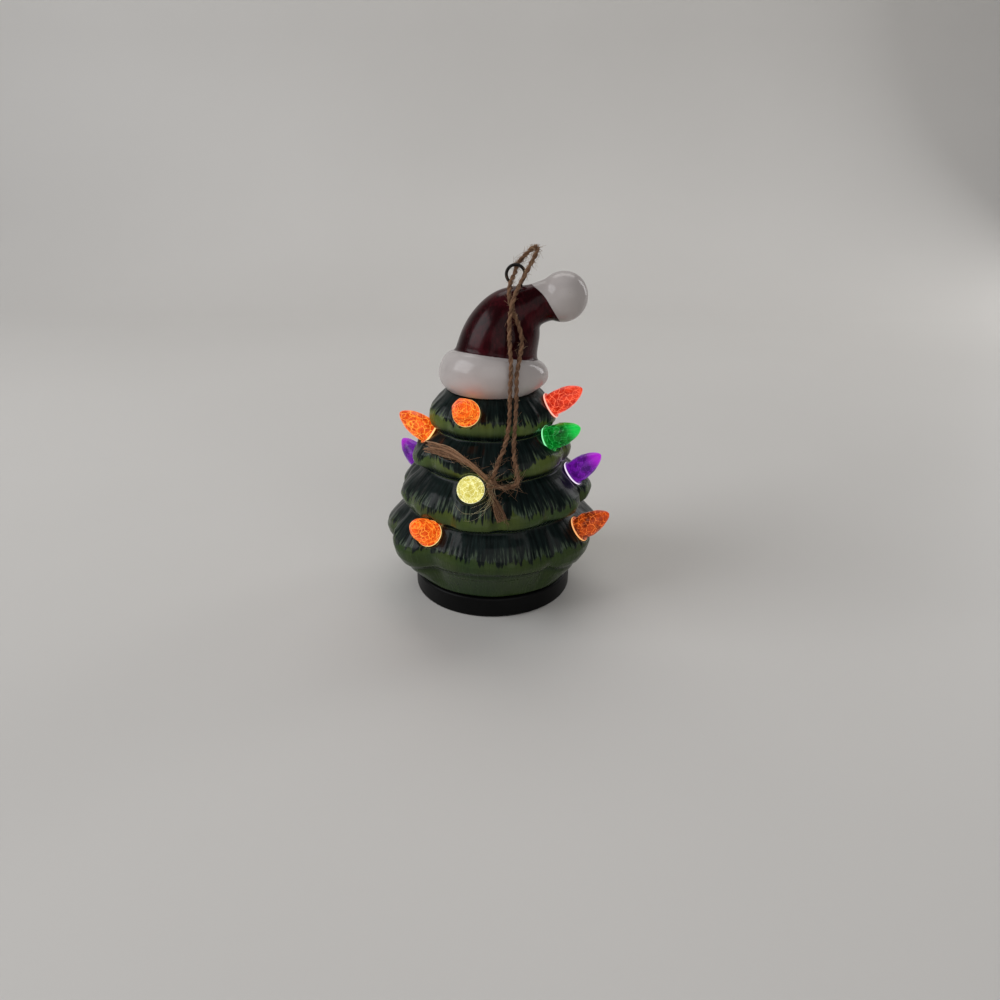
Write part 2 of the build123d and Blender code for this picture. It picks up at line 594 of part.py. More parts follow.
def bulb_seats():
    """Where each peg sits: its flange lies on the plane and its tip points along the plane's normal."""
    seats = []
    necks = neck_heights()
    for row, places in enumerate(ROW_PLACE_SHARES, start=1):
        tier = TIERS[len(TIERS) - row]
        rim_z = necks[len(TIERS) - row] + tier.under_height
        for number, (azimuth, share, elevation, turn) in enumerate(places, start=1):
            height = rim_z + tier.slope_height * share
            radius = surface_radius(azimuth, height)
            place = Vector(radius * sin(radians(azimuth)), -radius * cos(radians(azimuth)), height)
            aim = radians(azimuth + turn)
            rise = radians(elevation)
            normal = Vector(cos(rise) * sin(aim), -cos(rise) * cos(aim), sin(rise))
            seat = Plane(place - normal * BULB_SEAT_SINK, z_dir=normal)
            seats.append(Seat(f"bulb_row{row}_{number}", seat))
    return seats


def bulb():
    """Light peg on +Z: peg below the seat, flange on it, flame-shaped body above."""
    body = [(BULB_BODY_RADIUS * radius, BULB_FLANGE_THICKNESS + BULB_BODY_LENGTH * height)
            for radius, height in BULB_BODY_SHARES]
    tip = BULB_FLANGE_THICKNESS + BULB_BODY_LENGTH
    edge = Polyline(
        (0, tip), (0, -BULB_PEG_LENGTH), (BULB_PEG_RADIUS - BULB_PEG_CHAMFER, -BULB_PEG_LENGTH),
        (BULB_PEG_RADIUS, -BULB_PEG_LENGTH + BULB_PEG_CHAMFER), (BULB_PEG_RADIUS, 0),
        (BULB_FLANGE_RADIUS, 0), (BULB_FLANGE_RADIUS, BULB_FLANGE_THICKNESS), body[0],
    )
    flame = Spline(*body, (0, tip), tangents=((BULB_FLARE_SHARE, 1), (-1, 0)))
    return revolve(Plane.XZ * make_face(edge + flame), Axis.Z)


def tree_shell(seats):
    tree = loft([level_face(level) for level in tree_levels()], ruled=True)
    cuts = [tree_cavity()]
    for seat in seats:
        hole = Cylinder(BULB_PEG_RADIUS + BULB_HOLE_CLEARANCE, 2 * BULB_CUT_LENGTH)
        recess = Cylinder(BULB_FLANGE_RADIUS + BULB_SEAT_CLEARANCE, BULB_CUT_LENGTH,
                          align=(Align.CENTER, Align.CENTER, Align.MIN))
        cuts.append(seat.plane * (hole + recess))
    return tree - cuts


def hat_base():
    """Plane on top of the brim, tipped down to the right and to the back."""
    return Plane((BRIM_SHIFT, 0, neck_heights()[-1] + BRIM_HEIGHT)).rotated((-BRIM_FRONT_TILT, BRIM_TILT, 0))


def hat_brim():
    bottom = neck_heights()[-1]
    faces = [Plane((0, 0, bottom)) * Circle(TOP_NECK_RADIUS)]
    for height, width in BRIM_SHARES:
        ring = Plane((BRIM_SHIFT * height, 0, bottom + BRIM_HEIGHT * height))
        tilt = (-BRIM_FRONT_TILT * height, BRIM_TILT * height, 0)
        faces.append(ring.rotated(tilt) * Circle(BRIM_RADIUS * width))
    faces.append(hat_base() * Circle(HAT_RADIUS))
    brim = loft(faces)
    return brim - drum(TOP_NECK_RADIUS - CERAMIC_WALL, bottom - OVERRUN, bottom + 2 * BRIM_HEIGHT)


def hat_sections():
    """Plane and radius of each section of the cone, from the brim to the end that holds the ball."""
    sections = [(hat_base(), HAT_RADIUS)]
    base = neck_heights()[-1] + BRIM_HEIGHT
    for left, right in zip(HAT_LEFT_SHARES, HAT_RIGHT_SHARES):
        start = Vector(BRIM_SHIFT + left[0] * HAT_RADIUS, 0, base + left[1] * HAT_HEIGHT)
        end = Vector(BRIM_SHIFT + right[0] * HAT_RADIUS, 0, base + right[1] * HAT_HEIGHT)
        across = end - start
        middle = (start + end) / 2
        along = Vector(0, -1, 0).cross(across)
        sections.append((Plane(middle, x_dir=across, z_dir=along), across.length / 2))
    return sections


def hat_cone():
    sections = hat_sections()
    cone = loft([plane * Circle(radius) for plane, radius in sections])
    cone -= loft([plane * Circle(radius - HAT_WALL) for plane, radius in sections[:-1]])
    for x in loop_legs():
        cone -= drum(WIRE_RADIUS + WIRE_HOLE_CLEARANCE, loop_foot(), hat_top() + OVERRUN, x)
    return cone


def hat_pompom():
    """Ball on a short neck that grows out of the end of the cone."""
    plane, radius = hat_sections()[-1]
    rise = radians(POMPOM_RISE_ANGLE)
    reach = Vector(cos(rise), 0, sin(rise))
    middle = plane.origin + reach * POMPOM_REACH
    across = Plane(middle, x_dir=reach.cross(Vector(0, -1, 0)), z_dir=reach)
    neck = loft([plane * Circle(radius), across * Circle(POMPOM_RADIUS * POMPOM_NECK_SHARE)])
    return neck + split(Pos(*middle) * Sphere(POMPOM_RADIUS), bisect_by=plane, keep=Keep.TOP)


def hat_top():
    return neck_heights()[-1] + BRIM_HEIGHT + HAT_HEIGHT


def loop_legs():
    middle = BRIM_SHIFT + LOOP_SHIFT
    return middle - LOOP_FOOT_WIDTH / 2, middle + LOOP_FOOT_WIDTH / 2


def loop_foot():
    return hat_top() - LOOP_DEPTH


def hanger_loop():
    """Wire bent into a round eye, with two straight legs that go down into the clay."""
    left, right = loop_legs()
    middle = (left + right) / 2
    foot = loop_foot()
    knee = hat_top()
    eye_radius = LOOP_WIDTH / 2
    apart = eye_radius + LOOP_BEND_RADIUS
    turn = acos((LOOP_FOOT_WIDTH / 2 + LOOP_BEND_RADIUS) / apart)
    eye_height = knee + apart * sin(turn)
    opened = degrees(turn)
    path = Plane.XZ * (
        Line((left, foot), (left, knee))
        + CenterArc((left - LOOP_BEND_RADIUS, knee), LOOP_BEND_RADIUS, 0, opened)
        + CenterArc((middle, eye_height), eye_radius, 180 + opened, -180 - 2 * opened)
        + CenterArc((right + LOOP_BEND_RADIUS, knee), LOOP_BEND_RADIUS, 180 - opened, opened)
        + Line((right, knee), (right, foot))
    )
    return sweep(Plane((left, 0, foot)) * Circle(WIRE_RADIUS), path)


def bend_radii(points):
    """Radius at each inner point: the arc takes the same share of the shorter run beside it."""
    radii = []
    for before, here, after in zip(points, points[1:], points[2:]):
        arriving = Vector(here) - Vector(before)
        leaving = Vector(after) - Vector(here)
        shorter = min(arriving.length, leaving.length)
        radii.append(BEND_SHARE * shorter / tan(radians(arriving.get_angle(leaving) / 2)))
    return radii


def twine(name, points, radius):
    """Plain tube along a stretch of twine: straight runs and tangent arcs."""
    radii = bend_radii(points)
    path = FilletPolyline(*points, radius=radii)
    tube = sweep(Plane(points[0], z_dir=Vector(points[1]) - Vector(points[0])) * Circle(radius), path)
    filled = tube.volume / (pi * radius ** 2 * path.length)
    print(name, f"length {path.length:.1f}, least bend radius {min(radii):.2f}, volume share {filled:.3f}")
    return tube


def twine_knot():
    return Pos(*KNOT_PLACE) * Sphere(KNOT_RADIUS)


def all_parts():
    seats = bulb_seats()
    parts = {
        "tree_shell": tree_shell(seats),
        "hat_brim": hat_brim(),
        "hat_cone": hat_cone(),
        "hat_pompom": hat_pompom(),
        "hanger_loop": hanger_loop(),
        "twine_loop": twine("twine_loop", TWINE_LOOP_POINTS, TWINE_RADIUS),
        "twine_knot": twine_knot(),
        "twine_tail_left": twine("twine_tail_left", TAIL_LEFT_POINTS, TAIL_RADIUS),
        "twine_tail_low": twine("twine_tail_low", TAIL_LOW_POINTS, TAIL_RADIUS),
        "base_cup": base_cup(),
        "light_turret": light_turret(),
        "turret_screws": turret_screws(),
        "gasket": gasket(),
        "circuit_board": circuit_board(),
        "led_legs": led_legs(),
        "resistor": resistor(),
        "switch_body": switch_body(),
        "switch_slider": switch_slider(),
        "switch_lead_red": switch_lead(-1),
        "switch_lead_black": switch_lead(1),
        "contact_leaf": contact_leaf(),
        "contact_plate": contact_plate(),
        "battery_door": battery_door(),
    }
    for number, place in enumerate(led_places(), start=1):
        parts[f"led_{number}"] = led(place)
    for index in range(CELL_COUNT):
        parts[f"cell_{index + 1}"] = cell(index)
    light_peg = bulb()
    for seat in seats:
        parts[seat.name] = seat.plane * light_peg
    return parts


os.makedirs("parts", exist_ok=True)
for name, part in all_parts().items():
    export_step(part, f"parts/{name}.step")
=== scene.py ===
import itertools
import json
import math
import random

import bmesh
import bpy
import numpy as np
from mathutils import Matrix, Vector
from mathutils.bvhtree import BVHTree


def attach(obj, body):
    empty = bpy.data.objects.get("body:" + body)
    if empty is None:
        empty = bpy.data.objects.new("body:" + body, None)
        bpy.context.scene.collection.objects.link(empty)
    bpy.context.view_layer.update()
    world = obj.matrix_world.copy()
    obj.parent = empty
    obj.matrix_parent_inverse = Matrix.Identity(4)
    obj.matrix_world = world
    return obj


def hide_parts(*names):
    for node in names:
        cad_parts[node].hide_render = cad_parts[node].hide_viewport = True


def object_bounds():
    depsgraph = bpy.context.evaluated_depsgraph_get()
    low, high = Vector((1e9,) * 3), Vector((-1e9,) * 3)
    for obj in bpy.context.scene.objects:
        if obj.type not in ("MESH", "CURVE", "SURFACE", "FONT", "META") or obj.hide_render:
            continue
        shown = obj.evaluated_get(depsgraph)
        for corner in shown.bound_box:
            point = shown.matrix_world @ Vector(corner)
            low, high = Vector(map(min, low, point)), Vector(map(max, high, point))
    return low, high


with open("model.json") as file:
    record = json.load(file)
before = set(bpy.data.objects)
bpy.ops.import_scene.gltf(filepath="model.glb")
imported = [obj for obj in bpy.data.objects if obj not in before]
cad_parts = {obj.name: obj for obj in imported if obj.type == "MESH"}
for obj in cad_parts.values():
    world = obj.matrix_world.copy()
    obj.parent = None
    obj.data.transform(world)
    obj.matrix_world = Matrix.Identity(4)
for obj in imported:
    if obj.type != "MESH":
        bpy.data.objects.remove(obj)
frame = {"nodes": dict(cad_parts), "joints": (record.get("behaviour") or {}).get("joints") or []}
cad_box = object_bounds()


# Light base: the black cup that the tree stands on, moulded in one piece of satin ABS with softened
# edges. Fine sparking from the mould and faint rub marks keep it from being a flat black. The door under it
# is moulded in the same plastic.
MM = 0.001


class Flow:
    """A socket in a material. Sums on it add Math nodes, and node() adds any other node."""

    def __init__(self, tree, socket=None):
        self.tree = tree
        self.socket = socket

    def node(self, kind, settings=None, values=None, out=0):
        made = self.tree.nodes.new(kind)
        for name, value in (settings or {}).items():
            setattr(made, name, value)
        for name, value in (values or {}).items():
            if isinstance(value, Flow):
                self.tree.links.new(value.socket, made.inputs[name])
            else:
                made.inputs[name].default_value = value
        return Flow(self.tree, made.outputs[out])

    def math(self, operation, first, second):
        return self.node("ShaderNodeMath", {"operation": operation}, {0: first, 1: second})

    def __add__(self, other):
        return self.math("ADD", self, other)

    __radd__ = __add__

    def __mul__(self, other):
        return self.math("MULTIPLY", self, other)

    __rmul__ = __mul__

    def __sub__(self, other):
        return self.math("SUBTRACT", self, other)

    def __rsub__(self, other):
        return self.math("SUBTRACT", other, self)

    def step(self, low, high):
        """0 below low, 1 above high, and smooth between."""
        ends = {"From Min": low, "From Max": high, "Value": self}
        return self.node("ShaderNodeMapRange", {"interpolation_type": "SMOOTHSTEP"}, ends)

    def blend(self, start, end):
        """One colour where this is 0, the other where it is 1."""
        return self.node("ShaderNodeMix", {"data_type": "RGBA"}, {0: self, 6: start, 7: end}, 2)

    def stretch(self, x, y, z):
        """This point, stretched along each axis."""
        return self.node("ShaderNodeVectorMath", {"operation": "MULTIPLY"}, {0: self, 1: (x, y, z)})

    def place(self, x=1.0, y=1.0, z=1.0):
        """The point on the piece in millimetres, stretched along each axis."""
        return self.node("ShaderNodeTexCoord", out="Object").stretch(x / MM, y / MM, z / MM)

    def noise(self, point, scale, detail=3.0, rough=0.5):
        values = {"Vector": point, "Scale": scale, "Detail": detail, "Roughness": rough}
        return self.node("ShaderNodeTexNoise", {}, values)

    def cells(self, point, scale):
        """Distance from the edges of cells, as cracks leave them."""
        values = {"Vector": point, "Scale": scale}
        return self.node("ShaderNodeTexVoronoi", {"feature": "DISTANCE_TO_EDGE"}, values)

    def mark(self, name, out="Fac"):
        """What is kept at each point of the mesh under this name."""
        return self.node("ShaderNodeAttribute", {"attribute_name": name}, out=out)

    def bump(self, strength, distance=0.1):
        """Normal that follows this height."""
        values = {"Strength": strength, "Distance": distance * MM, "Height": self}
        return self.node("ShaderNodeBump", {}, values)


def new_finish(name):
    """A new material, and a Flow that adds nodes to it."""
    material = bpy.data.materials.new(name)
    material.use_nodes = True
    return material, Flow(material.node_tree)


def dress(material, values):
    """Sets the shader's sockets, or links them to what varies over the surface."""
    shader = material.node_tree.nodes["Principled BSDF"]
    for name, value in values.items():
        if isinstance(value, Flow):
            material.node_tree.links.new(value.socket, shader.inputs[name])
        else:
            shader.inputs[name].default_value = value
    return material


def paint(material, *nodes):
    """Gives a material to CAD solids that show as they are."""
    for node in nodes:
        part = frame["nodes"][node]
        part.data.materials.clear()
        part.data.materials.append(material)


def moulded(name, colour, shine, speck):
    """Moulded plastic: sparked skin, slight mottling and duller rub marks."""
    material, flow = new_finish(name)
    cloud = flow.noise(flow.place(), 0.35, 4.0)
    spark = flow.noise(flow.place(), 4.0, 2.0)
    rubbed = flow.noise(flow.place(1, 1, 6), 0.5, 5.0).step(0.55, 0.75)
    light = tuple(min(1.0, part * (1 + speck) + 0.002) for part in colour) + (1,)
    return dress(material, {
        "Base Color": (cloud * 0.6 + rubbed * 0.4).blend(colour + (1,), light),
        "Roughness": shine + cloud * 0.1 + rubbed * 0.08,
        "Specular IOR Level": 0.1,
        "Normal": spark.bump(0.12, 0.05),
    })


paint(moulded("black_base", (0.0015, 0.0015, 0.0016), shine=0.36, speck=0.5), "base_cup", "battery_door")


# Inside of the light base: a white turret that plugs into the hollow foot, its screws and rubber ring, a
# slide switch, and a small board with three lamps over a stack of button cells. None of it shows when the
# tree stands on it.
def metal(name, colour, shine, grain):
    """Plated steel with drawn lines and a little tarnish."""
    material, flow = new_finish(name)
    drawn = flow.noise(flow.place(grain, 1, 1), 2.5, 3.0)
    tarnish = flow.noise(flow.place(), 0.6, 4.0).step(0.5, 0.8)
    dark = tuple(part * 0.7 for part in colour) + (1,)
    return dress(material, {
        "Base Color": tarnish.blend(colour + (1,), dark),
        "Metallic": 1.0,
        "Roughness": shine + drawn * 0.15,
        "Normal": drawn.bump(0.1, 0.03),
    })


def glowing_lamp(name):
    """Clear lamp that glows warm from its chip, its colour swirling a little."""
    material, flow = new_finish(name)
    swirl = flow.noise(flow.place(), 1.2, 2.0)
    return dress(material, {
        "Base Color": swirl.blend((0.95, 0.9, 0.75, 1), (0.85, 0.78, 0.6, 1)),
        "Emission Color": swirl.blend((1.0, 0.8, 0.45, 1), (0.9, 0.6, 0.25, 1)),
        "Emission Strength": 1.5,
        "Roughness": 0.08 + swirl * 0.05,
    })


def solder_mask(name):
    """Green lacquer over copper: tracks show through as lighter lines."""
    material, flow = new_finish(name)
    track = 1 - flow.cells(flow.place(), 0.3).step(0.05, 0.08)
    return dress(material, {
        "Base Color": track.blend((0.01, 0.09, 0.03, 1), (0.03, 0.2, 0.07, 1)),
        "Roughness": 0.3 + track * 0.1,
        "Normal": track.bump(0.3, 0.05),
    })


paint(moulded("white_turret", (0.72, 0.72, 0.69), shine=0.4, speck=0.05), "light_turret", "switch_slider")
paint(moulded("rubber_ring", (0.02, 0.02, 0.02), shine=0.6, speck=0.4), "gasket")
paint(moulded("black_switch", (0.015, 0.015, 0.015), shine=0.4, speck=0.4),
      "switch_body", "resistor", "switch_lead_black")
paint(moulded("red_lead", (0.45, 0.02, 0.015), shine=0.35, speck=0.2), "switch_lead_red")
paint(metal("plated_steel", (0.62, 0.61, 0.58), shine=0.25, grain=8),
      "turret_screws", "led_legs", "contact_leaf", "contact_plate")
paint(metal("cell_can", (0.7, 0.7, 0.69), shine=0.18, grain=1), "cell_1", "cell_2", "cell_3")
paint(solder_mask("board_lacquer"), "circuit_board")
paint(glowing_lamp("lamp_clear"), "led_1", "led_2", "led_3")


# Tree: one hollow slip-cast shell of earthenware. Each tier of boughs is scored with fine needles, painted
# almost black over a mid green and left green along its rolled rim, then dipped in a thick clear glaze.
def cast(name, nodes, grain, melts):
    """CAD solids as one even skin of small faces, with its corners melted as glaze makes them."""
    joined = bmesh.new()
    for node in nodes:
        joined.from_mesh(frame["nodes"][node].data)
    mesh = bpy.data.meshes.new(name)
    joined.to_mesh(mesh)
    joined.free()
    piece = bpy.data.objects.new(name, mesh)
    bpy.context.scene.collection.objects.link(piece)
    skin = piece.modifiers.new("skin", "REMESH")
    skin.mode = "VOXEL"
    skin.voxel_size = grain * MM
    melt = piece.modifiers.new("melt", "SMOOTH")
    melt.factor = 0.5
    melt.iterations = melts
    made = bpy.data.meshes.new_from_object(piece.evaluated_get(bpy.context.evaluated_depsgraph_get()))
    piece.modifiers.clear()
    piece.data = made
    made.materials.clear()
    made.shade_smooth()
    return piece


def points_of(piece):
    """Places and normals of a piece's points, in millimetres."""
    count = len(piece.data.vertices)
    places = np.zeros(count * 3)
    normals = np.zeros(count * 3)
    piece.data.vertices.foreach_get("co", places)
    piece.data.vertices.foreach_get("normal", normals)
    return places.reshape(-1, 3) / MM, normals.reshape(-1, 3)


def move_points(piece, places):
    """Puts a piece's points at new places, in millimetres."""
    piece.data.vertices.foreach_set("co", (places * MM).ravel())
    piece.data.update()


def keep_mark(piece, name, values):
    """Keeps a number, or a point, at each point of the mesh for the piece's finish."""
    if values.ndim == 1:
        layer = piece.data.attributes.new(name, "FLOAT", "POINT")
        layer.data.foreach_set("value", values.astype(np.float32))
    else:
        layer = piece.data.attributes.new(name, "FLOAT_VECTOR", "POINT")
        layer.data.foreach_set("vector", values.astype(np.float32).ravel())


def lumps(points, seed):
    """Smooth unevenness from -1 to 1 at each point. Large primes mix the heights of a unit grid's corners."""
    cell = np.floor(points).astype(np.int64)
    part = points - cell
    part = part * part * (3 - 2 * part)
    total = np.zeros(len(points))
    for corner in itertools.product((0, 1), repeat=3):
        at = cell + np.array(corner)
        mixed = at[:, 0] * 73856093 ^ at[:, 1] * 19349663 ^ at[:, 2] * 83492791 ^ seed * 26544357
        mixed = (mixed ^ (mixed >> 13)) * 1274126177
        height = ((mixed >> 16) & 65535) / 32767.5 - 1
        total += height * np.prod(np.where(corner, part, 1 - part), axis=1)
    return total


def ease(low, high, values):
    """0 below low, 1 above high, and smooth between."""
    share = np.clip((values - low) / (high - low), 0, 1)
    return share * share * (3 - 2 * share)


# Where each peg's flange sits on the tree, and its own axes: two across it, and the one that it pulls along
PEG_LENGTH = 7.0
peg_seats = {}
for joint in frame["joints"]:
    peg_body = joint["child"]
    if not peg_body.startswith("peg_"):
        continue
    peg_node = peg_body.replace("peg_", "bulb_")
    aim = np.array(joint["axis"])
    aim /= np.linalg.norm(aim)
    across = np.cross(aim, (0, 0, 1))
    across /= np.linalg.norm(across)
    turn = np.stack([across, np.cross(aim, across), aim], axis=1)
    solid = np.array([vertex.co for vertex in frame["nodes"][peg_node].data.vertices]) / MM @ turn
    middle = (solid.min(axis=0) + solid.max(axis=0)) / 2
    middle[2] = solid[:, 2].min() + PEG_LENGTH
    peg_seats[peg_body] = (turn @ middle, turn)

# Height of the neck under each tier, of its rim, and of the neck above
TIERS = ((6.5, 20.0, 29.3), (29.3, 33.0, 42.6), (42.6, 46.6, 53.8), (53.8, 57.4, 65.0))
# Radius of the hollow inside, and the height where it is so wide
CAVITY = ((20.6, 6.5), (20.6, 20.0), (27.0, 22.3), (23.0, 29.3), (24.6, 35.4), (18.3, 42.6), (19.3, 48.4),
          (14.2, 53.8), (15.0, 59.3), (10.2, 65.0))
# A point this far outside the hollow begins to be, and then is, on the outer face of the wall
WALL_FACES = (0.8, 1.8)
# Each tier is painted and scored on a strip of its own girth, shifted so that no tier repeats another
LOW_GIRTH = 30
GIRTH_STEP = 4
STRIP_SHIFT = 40
# Depth, scale round and up the tier, and first seed of its folds, its creases and its scored needles
NEEDLES = ((0.55, (0.20, 0.20, 0.06), 3), (0.18, (0.42, 0.42, 0.10), 8), (0.09, (0.95, 0.95, 0.16), 13))
NEEDLE_LIMIT = 0.3
# Share of the slope, up from the rim, over which the needles begin and end
NEEDLES_FROM = (0.06, 0.3)
NEEDLES_TO = (0.82, 1.0)
# The rims hang lower in some places than in others, and the whole skin is a little uneven under its glaze
DROOP_DEPTH = 1.5
DROOP_SCALE = 0.12
DROOP_SEED = 23
DROOP_REACH = (0.15, 0.75)
DROOP_FROM = (16.0, 20.0)
SWELL_DEPTH = 0.22
SWELL_SCALE = 0.16
SWELL_SEED = 31
GLAZE_INSET = 0.1
# Bare ring round each peg, how deep it goes behind the flange, and a distance that no ring reaches
PEG_RING = (4.3, 5.6)
PEG_RING_BACK = -3
BEYOND_RINGS = 99
# Groove under the roll of the lowest rim: it dips from the front to the sides
SEAM_FRONT = 17.2
SEAM_SIDE = 11.5
SEAM_WIDTH = 0.9
SEAM_DEPTH = 0.4
# Heights over which the foot, which the painted underside shade leaves alone, ends, and over which the greens
# grow paler
FOOT_FADE = (14.0, 20.0)
PALE_FADE = (8.0, 62.0)
# Where the brush ran on over the rims in front: place and reach of each
OVERRUNS = (((-7.0, -22.5, 46.5), 7.5), ((3.0, -23.0, 46.0), 5.0), ((18.0, -11.0, 58.0), 5.0))

tree = cast("tree_glazed", ["tree_shell"], grain=0.32, melts=7)
place, normal = points_of(tree)
radius = np.hypot(place[:, 0], place[:, 1])
cavity = np.interp(place[:, 2], [height for _, height in CAVITY], [wide for wide, _ in CAVITY])
outside = ease(*WALL_FACES, radius - cavity)

# Slope is 0 on a rim, 1 at the neck above it and -1 at the neck below. Bough is a place on the tier's strip
slope = np.zeros(len(place))
bough = np.zeros((len(place), 3))
relief = np.zeros(len(place))
droop = np.zeros(len(place))
for tier, (low, rim, high) in enumerate(TIERS):
    here = (place[:, 2] >= low) & (place[:, 2] < high)
    above = place[here, 2] >= rim
    slope[here] = (place[here, 2] - rim) / np.where(above, high - rim, rim - low)
    girth = place[here, :2] / radius[here, None] * (LOW_GIRTH - GIRTH_STEP * tier)
    bough[here] = np.column_stack([girth, place[here, 2] + STRIP_SHIFT * tier])
    for depth, scale, seed in NEEDLES:
        relief[here] += depth * lumps(bough[here] * scale, seed + tier)
    lobe = lumps(np.column_stack([girth * DROOP_SCALE, np.full(len(girth), tier)]), DROOP_SEED)
    droop[here] = DROOP_DEPTH * lobe * (1 - ease(*DROOP_REACH, np.abs(slope[here])))

# The skin is pressed in or out along its normals, then the rims are let down, all clear of the pegs
clear_of_pegs = np.ones(len(place))
for seat, turn in peg_seats.values():
    local = (place - seat) @ turn
    off_axis = np.hypot(local[:, 0], local[:, 1])
    reach = np.where(local[:, 2] > PEG_RING_BACK, off_axis, BEYOND_RINGS)
    clear_of_pegs = np.minimum(clear_of_pegs, ease(*PEG_RING, reach))
scored = outside * clear_of_pegs * ease(*NEEDLES_FROM, slope) * (1 - ease(*NEEDLES_TO, slope))
swell = lumps(place * SWELL_SCALE, SWELL_SEED) * SWELL_DEPTH * outside * clear_of_pegs
to_front = np.clip(-place[:, 1] / radius, 0, 1)
seam_height = SEAM_SIDE + (SEAM_FRONT - SEAM_SIDE) * to_front ** 2
seam = np.exp(-((place[:, 2] - seam_height) / SEAM_WIDTH) ** 2) * outside
relief = scored * np.minimum(relief, NEEDLE_LIMIT) + swell - GLAZE_INSET * outside - SEAM_DEPTH * seam
place += normal * relief[:, None]
place[:, 2] += droop * outside * clear_of_pegs * ease(*DROOP_FROM, place[:, 2])
move_points(tree, place)

# What the glaze needs to know at each point
overrun = np.zeros(len(place))
for spot, reach in OVERRUNS:
    overrun = np.maximum(overrun, np.exp(-np.sum((place - spot) ** 2, axis=1) / reach ** 2))
keep_mark(tree, "slope", slope)
keep_mark(tree, "bough", bough)
keep_mark(tree, "seam", seam)
keep_mark(tree, "overrun", overrun)
keep_mark(tree, "lower_foot", 1 - ease(*FOOT_FADE, place[:, 2]))
keep_mark(tree, "high", ease(*PALE_FADE, place[:, 2]))


def tree_glaze():
    """Near-black paint brushed down each slope in ragged blades, over green that shows on the rims, with
    painted shade on the undersides and in the groove, and partly painted glints at the paint's edge.
    """
    material, flow = new_finish("green_glaze")
    slope_mark = flow.mark("slope")
    foot = flow.mark("lower_foot")
    bough_mark = flow.mark("bough", "Vector")
    patch = flow.noise(flow.place(), 0.05, 3.0)
    tuft = flow.noise(bough_mark.stretch(0.5, 0.5, 0.09), 1.0, 2.0)
    blade = flow.noise(bough_mark.stretch(1.5, 1.5, 0.17), 1.0, 3.0, 0.6)
    hair = flow.noise(bough_mark.stretch(3.4, 3.4, 0.35), 1.0, 2.0)
    rim_line = 0.7 * patch - 0.15 - 0.55 * flow.mark("overrun")
    ragged = slope_mark - 0.45 * (tuft - 0.5) - 0.65 * (blade - 0.5) - rim_line
    bare = 1 - ragged.step(-0.03, 0.03)
    # Pale strokes along the ragged edge of the dark paint: partly dry-brushed green, partly painted glints of
    # the glaze on the ridges
    edge_strokes_and_glints = (1 - ragged.step(0.02, 0.30)) * (blade + 0.4 * hair).step(0.66, 0.84)
    combed = hair.step(0.55, 0.72) * blade.step(0.40, 0.62) * 0.35
    # Painted shade: the underside of each tier above the foot is darkened to the near-black paint colour
    painted_underside_shade = (0 - slope_mark).step(0.15, 0.75) * (1 - foot)
    dark = blade.step(0.35, 0.70).blend((0.0022, 0.0050, 0.0045, 1), (0.0075, 0.0160, 0.0145, 1))
    brushed = combed.blend(dark, (0.030, 0.050, 0.046, 1))
    # The pale strokes, partly painted glints, are laid over the brushed paint
    with_edge_strokes_and_glints = (edge_strokes_and_glints * 0.8).blend(brushed, (0.092, 0.130, 0.080, 1))
    high = flow.mark("high")
    moss = high.blend((0.020, 0.042, 0.013, 1), (0.070, 0.112, 0.036, 1))
    lime = high.blend((0.030, 0.050, 0.015, 1), (0.112, 0.144, 0.028, 1))
    olive = patch.step(0.35, 0.65).blend(moss, lime)
    pooled = (tuft.step(0.30, 0.60) * 0.25 + 0.75).blend((0.010, 0.020, 0.008, 1), olive)
    coloured = bare.blend(with_edge_strokes_and_glints, pooled)
    # Painted shade: the undersides, and at half strength the groove under the lowest rim, take the near-black
    # paint colour
    shaded = (painted_underside_shade + 0.5 * flow.mark("seam")).blend(coloured, dark)
    height = flow.node("ShaderNodeSeparateXYZ", {}, {0: flow.place()}, 2)
    painted_edge = 1 - (height + 1.2 * (patch - 0.5)).step(7.1, 7.3)
    ripple = flow.noise(flow.place(), 0.7, 2.0)
    grain = (blade + 0.4 * hair) * (1 - 0.85 * bare)
    return dress(material, {
        "Base Color": painted_edge.blend(shaded, (0.0015, 0.0015, 0.0016, 1)),
        "Roughness": 0.22 + 0.16 * blade - 0.04 * bare,
        "Specular IOR Level": 0.11,
        "Coat Weight": 0.07,
        "Coat Roughness": 0.08,
        "Normal": (0.5 * ripple + grain).bump(0.4, 0.14),
    })


tree.data.materials.append(tree_glaze())
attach(tree, "tree")
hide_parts("tree_shell")


# Light pegs: small translucent plastic flames, each with a flange that seats in the ceramic and a plug
# that is pushed into a hole and carries light out of the hollow tree. The plastic is crazed inside, so it
# sparkles where the light meets it.

# Radius and height of each turn of the plug and flange, and then of the flame
PEG_PROFILE = ((0.0, -7.0), (1.2, -7.0), (1.6, -6.98), (1.98, -6.6), (2.0, -6.0), (2.0, -3.0), (2.0, -0.4),
               (2.05, -0.05), (2.6, 0.0), (3.5, 0.0), (3.85, 0.05), (3.98, 0.2), (4.0, 0.36), (3.98, 0.52),
               (3.85, 0.66), (3.6, 0.7), (3.34, 0.72))
FLAME_PROFILE = ((3.27, 0.85), (3.45, 1.6), (3.56, 2.4), (3.59, 3.2), (3.54, 4.1), (3.42, 5.0), (3.23, 6.0),
                 (2.98, 6.9), (2.66, 7.8), (2.28, 8.6), (1.86, 9.4), (1.42, 10.05), (0.98, 10.55),
                 (0.55, 10.88), (0.2, 11.05), (0.0, 11.1))
PEG_SIDES = 72
FLAME_RADIUS = 3.6
FLAME_FOOT = (0.8, 2.2)
# Depth of the pebbled skin, scale and first seed of its pebbles and of finer ones, and how far it sinks
PEBBLE_DEPTH = 0.16
PEBBLE_SCALE = (0.9, 0.9, 0.75)
PEBBLE_SEED = 100
FINE_SCALE = 1.9
FINE_SEED = 200
FINE_SHARE = 0.5
PEBBLE_SINK = 0.6
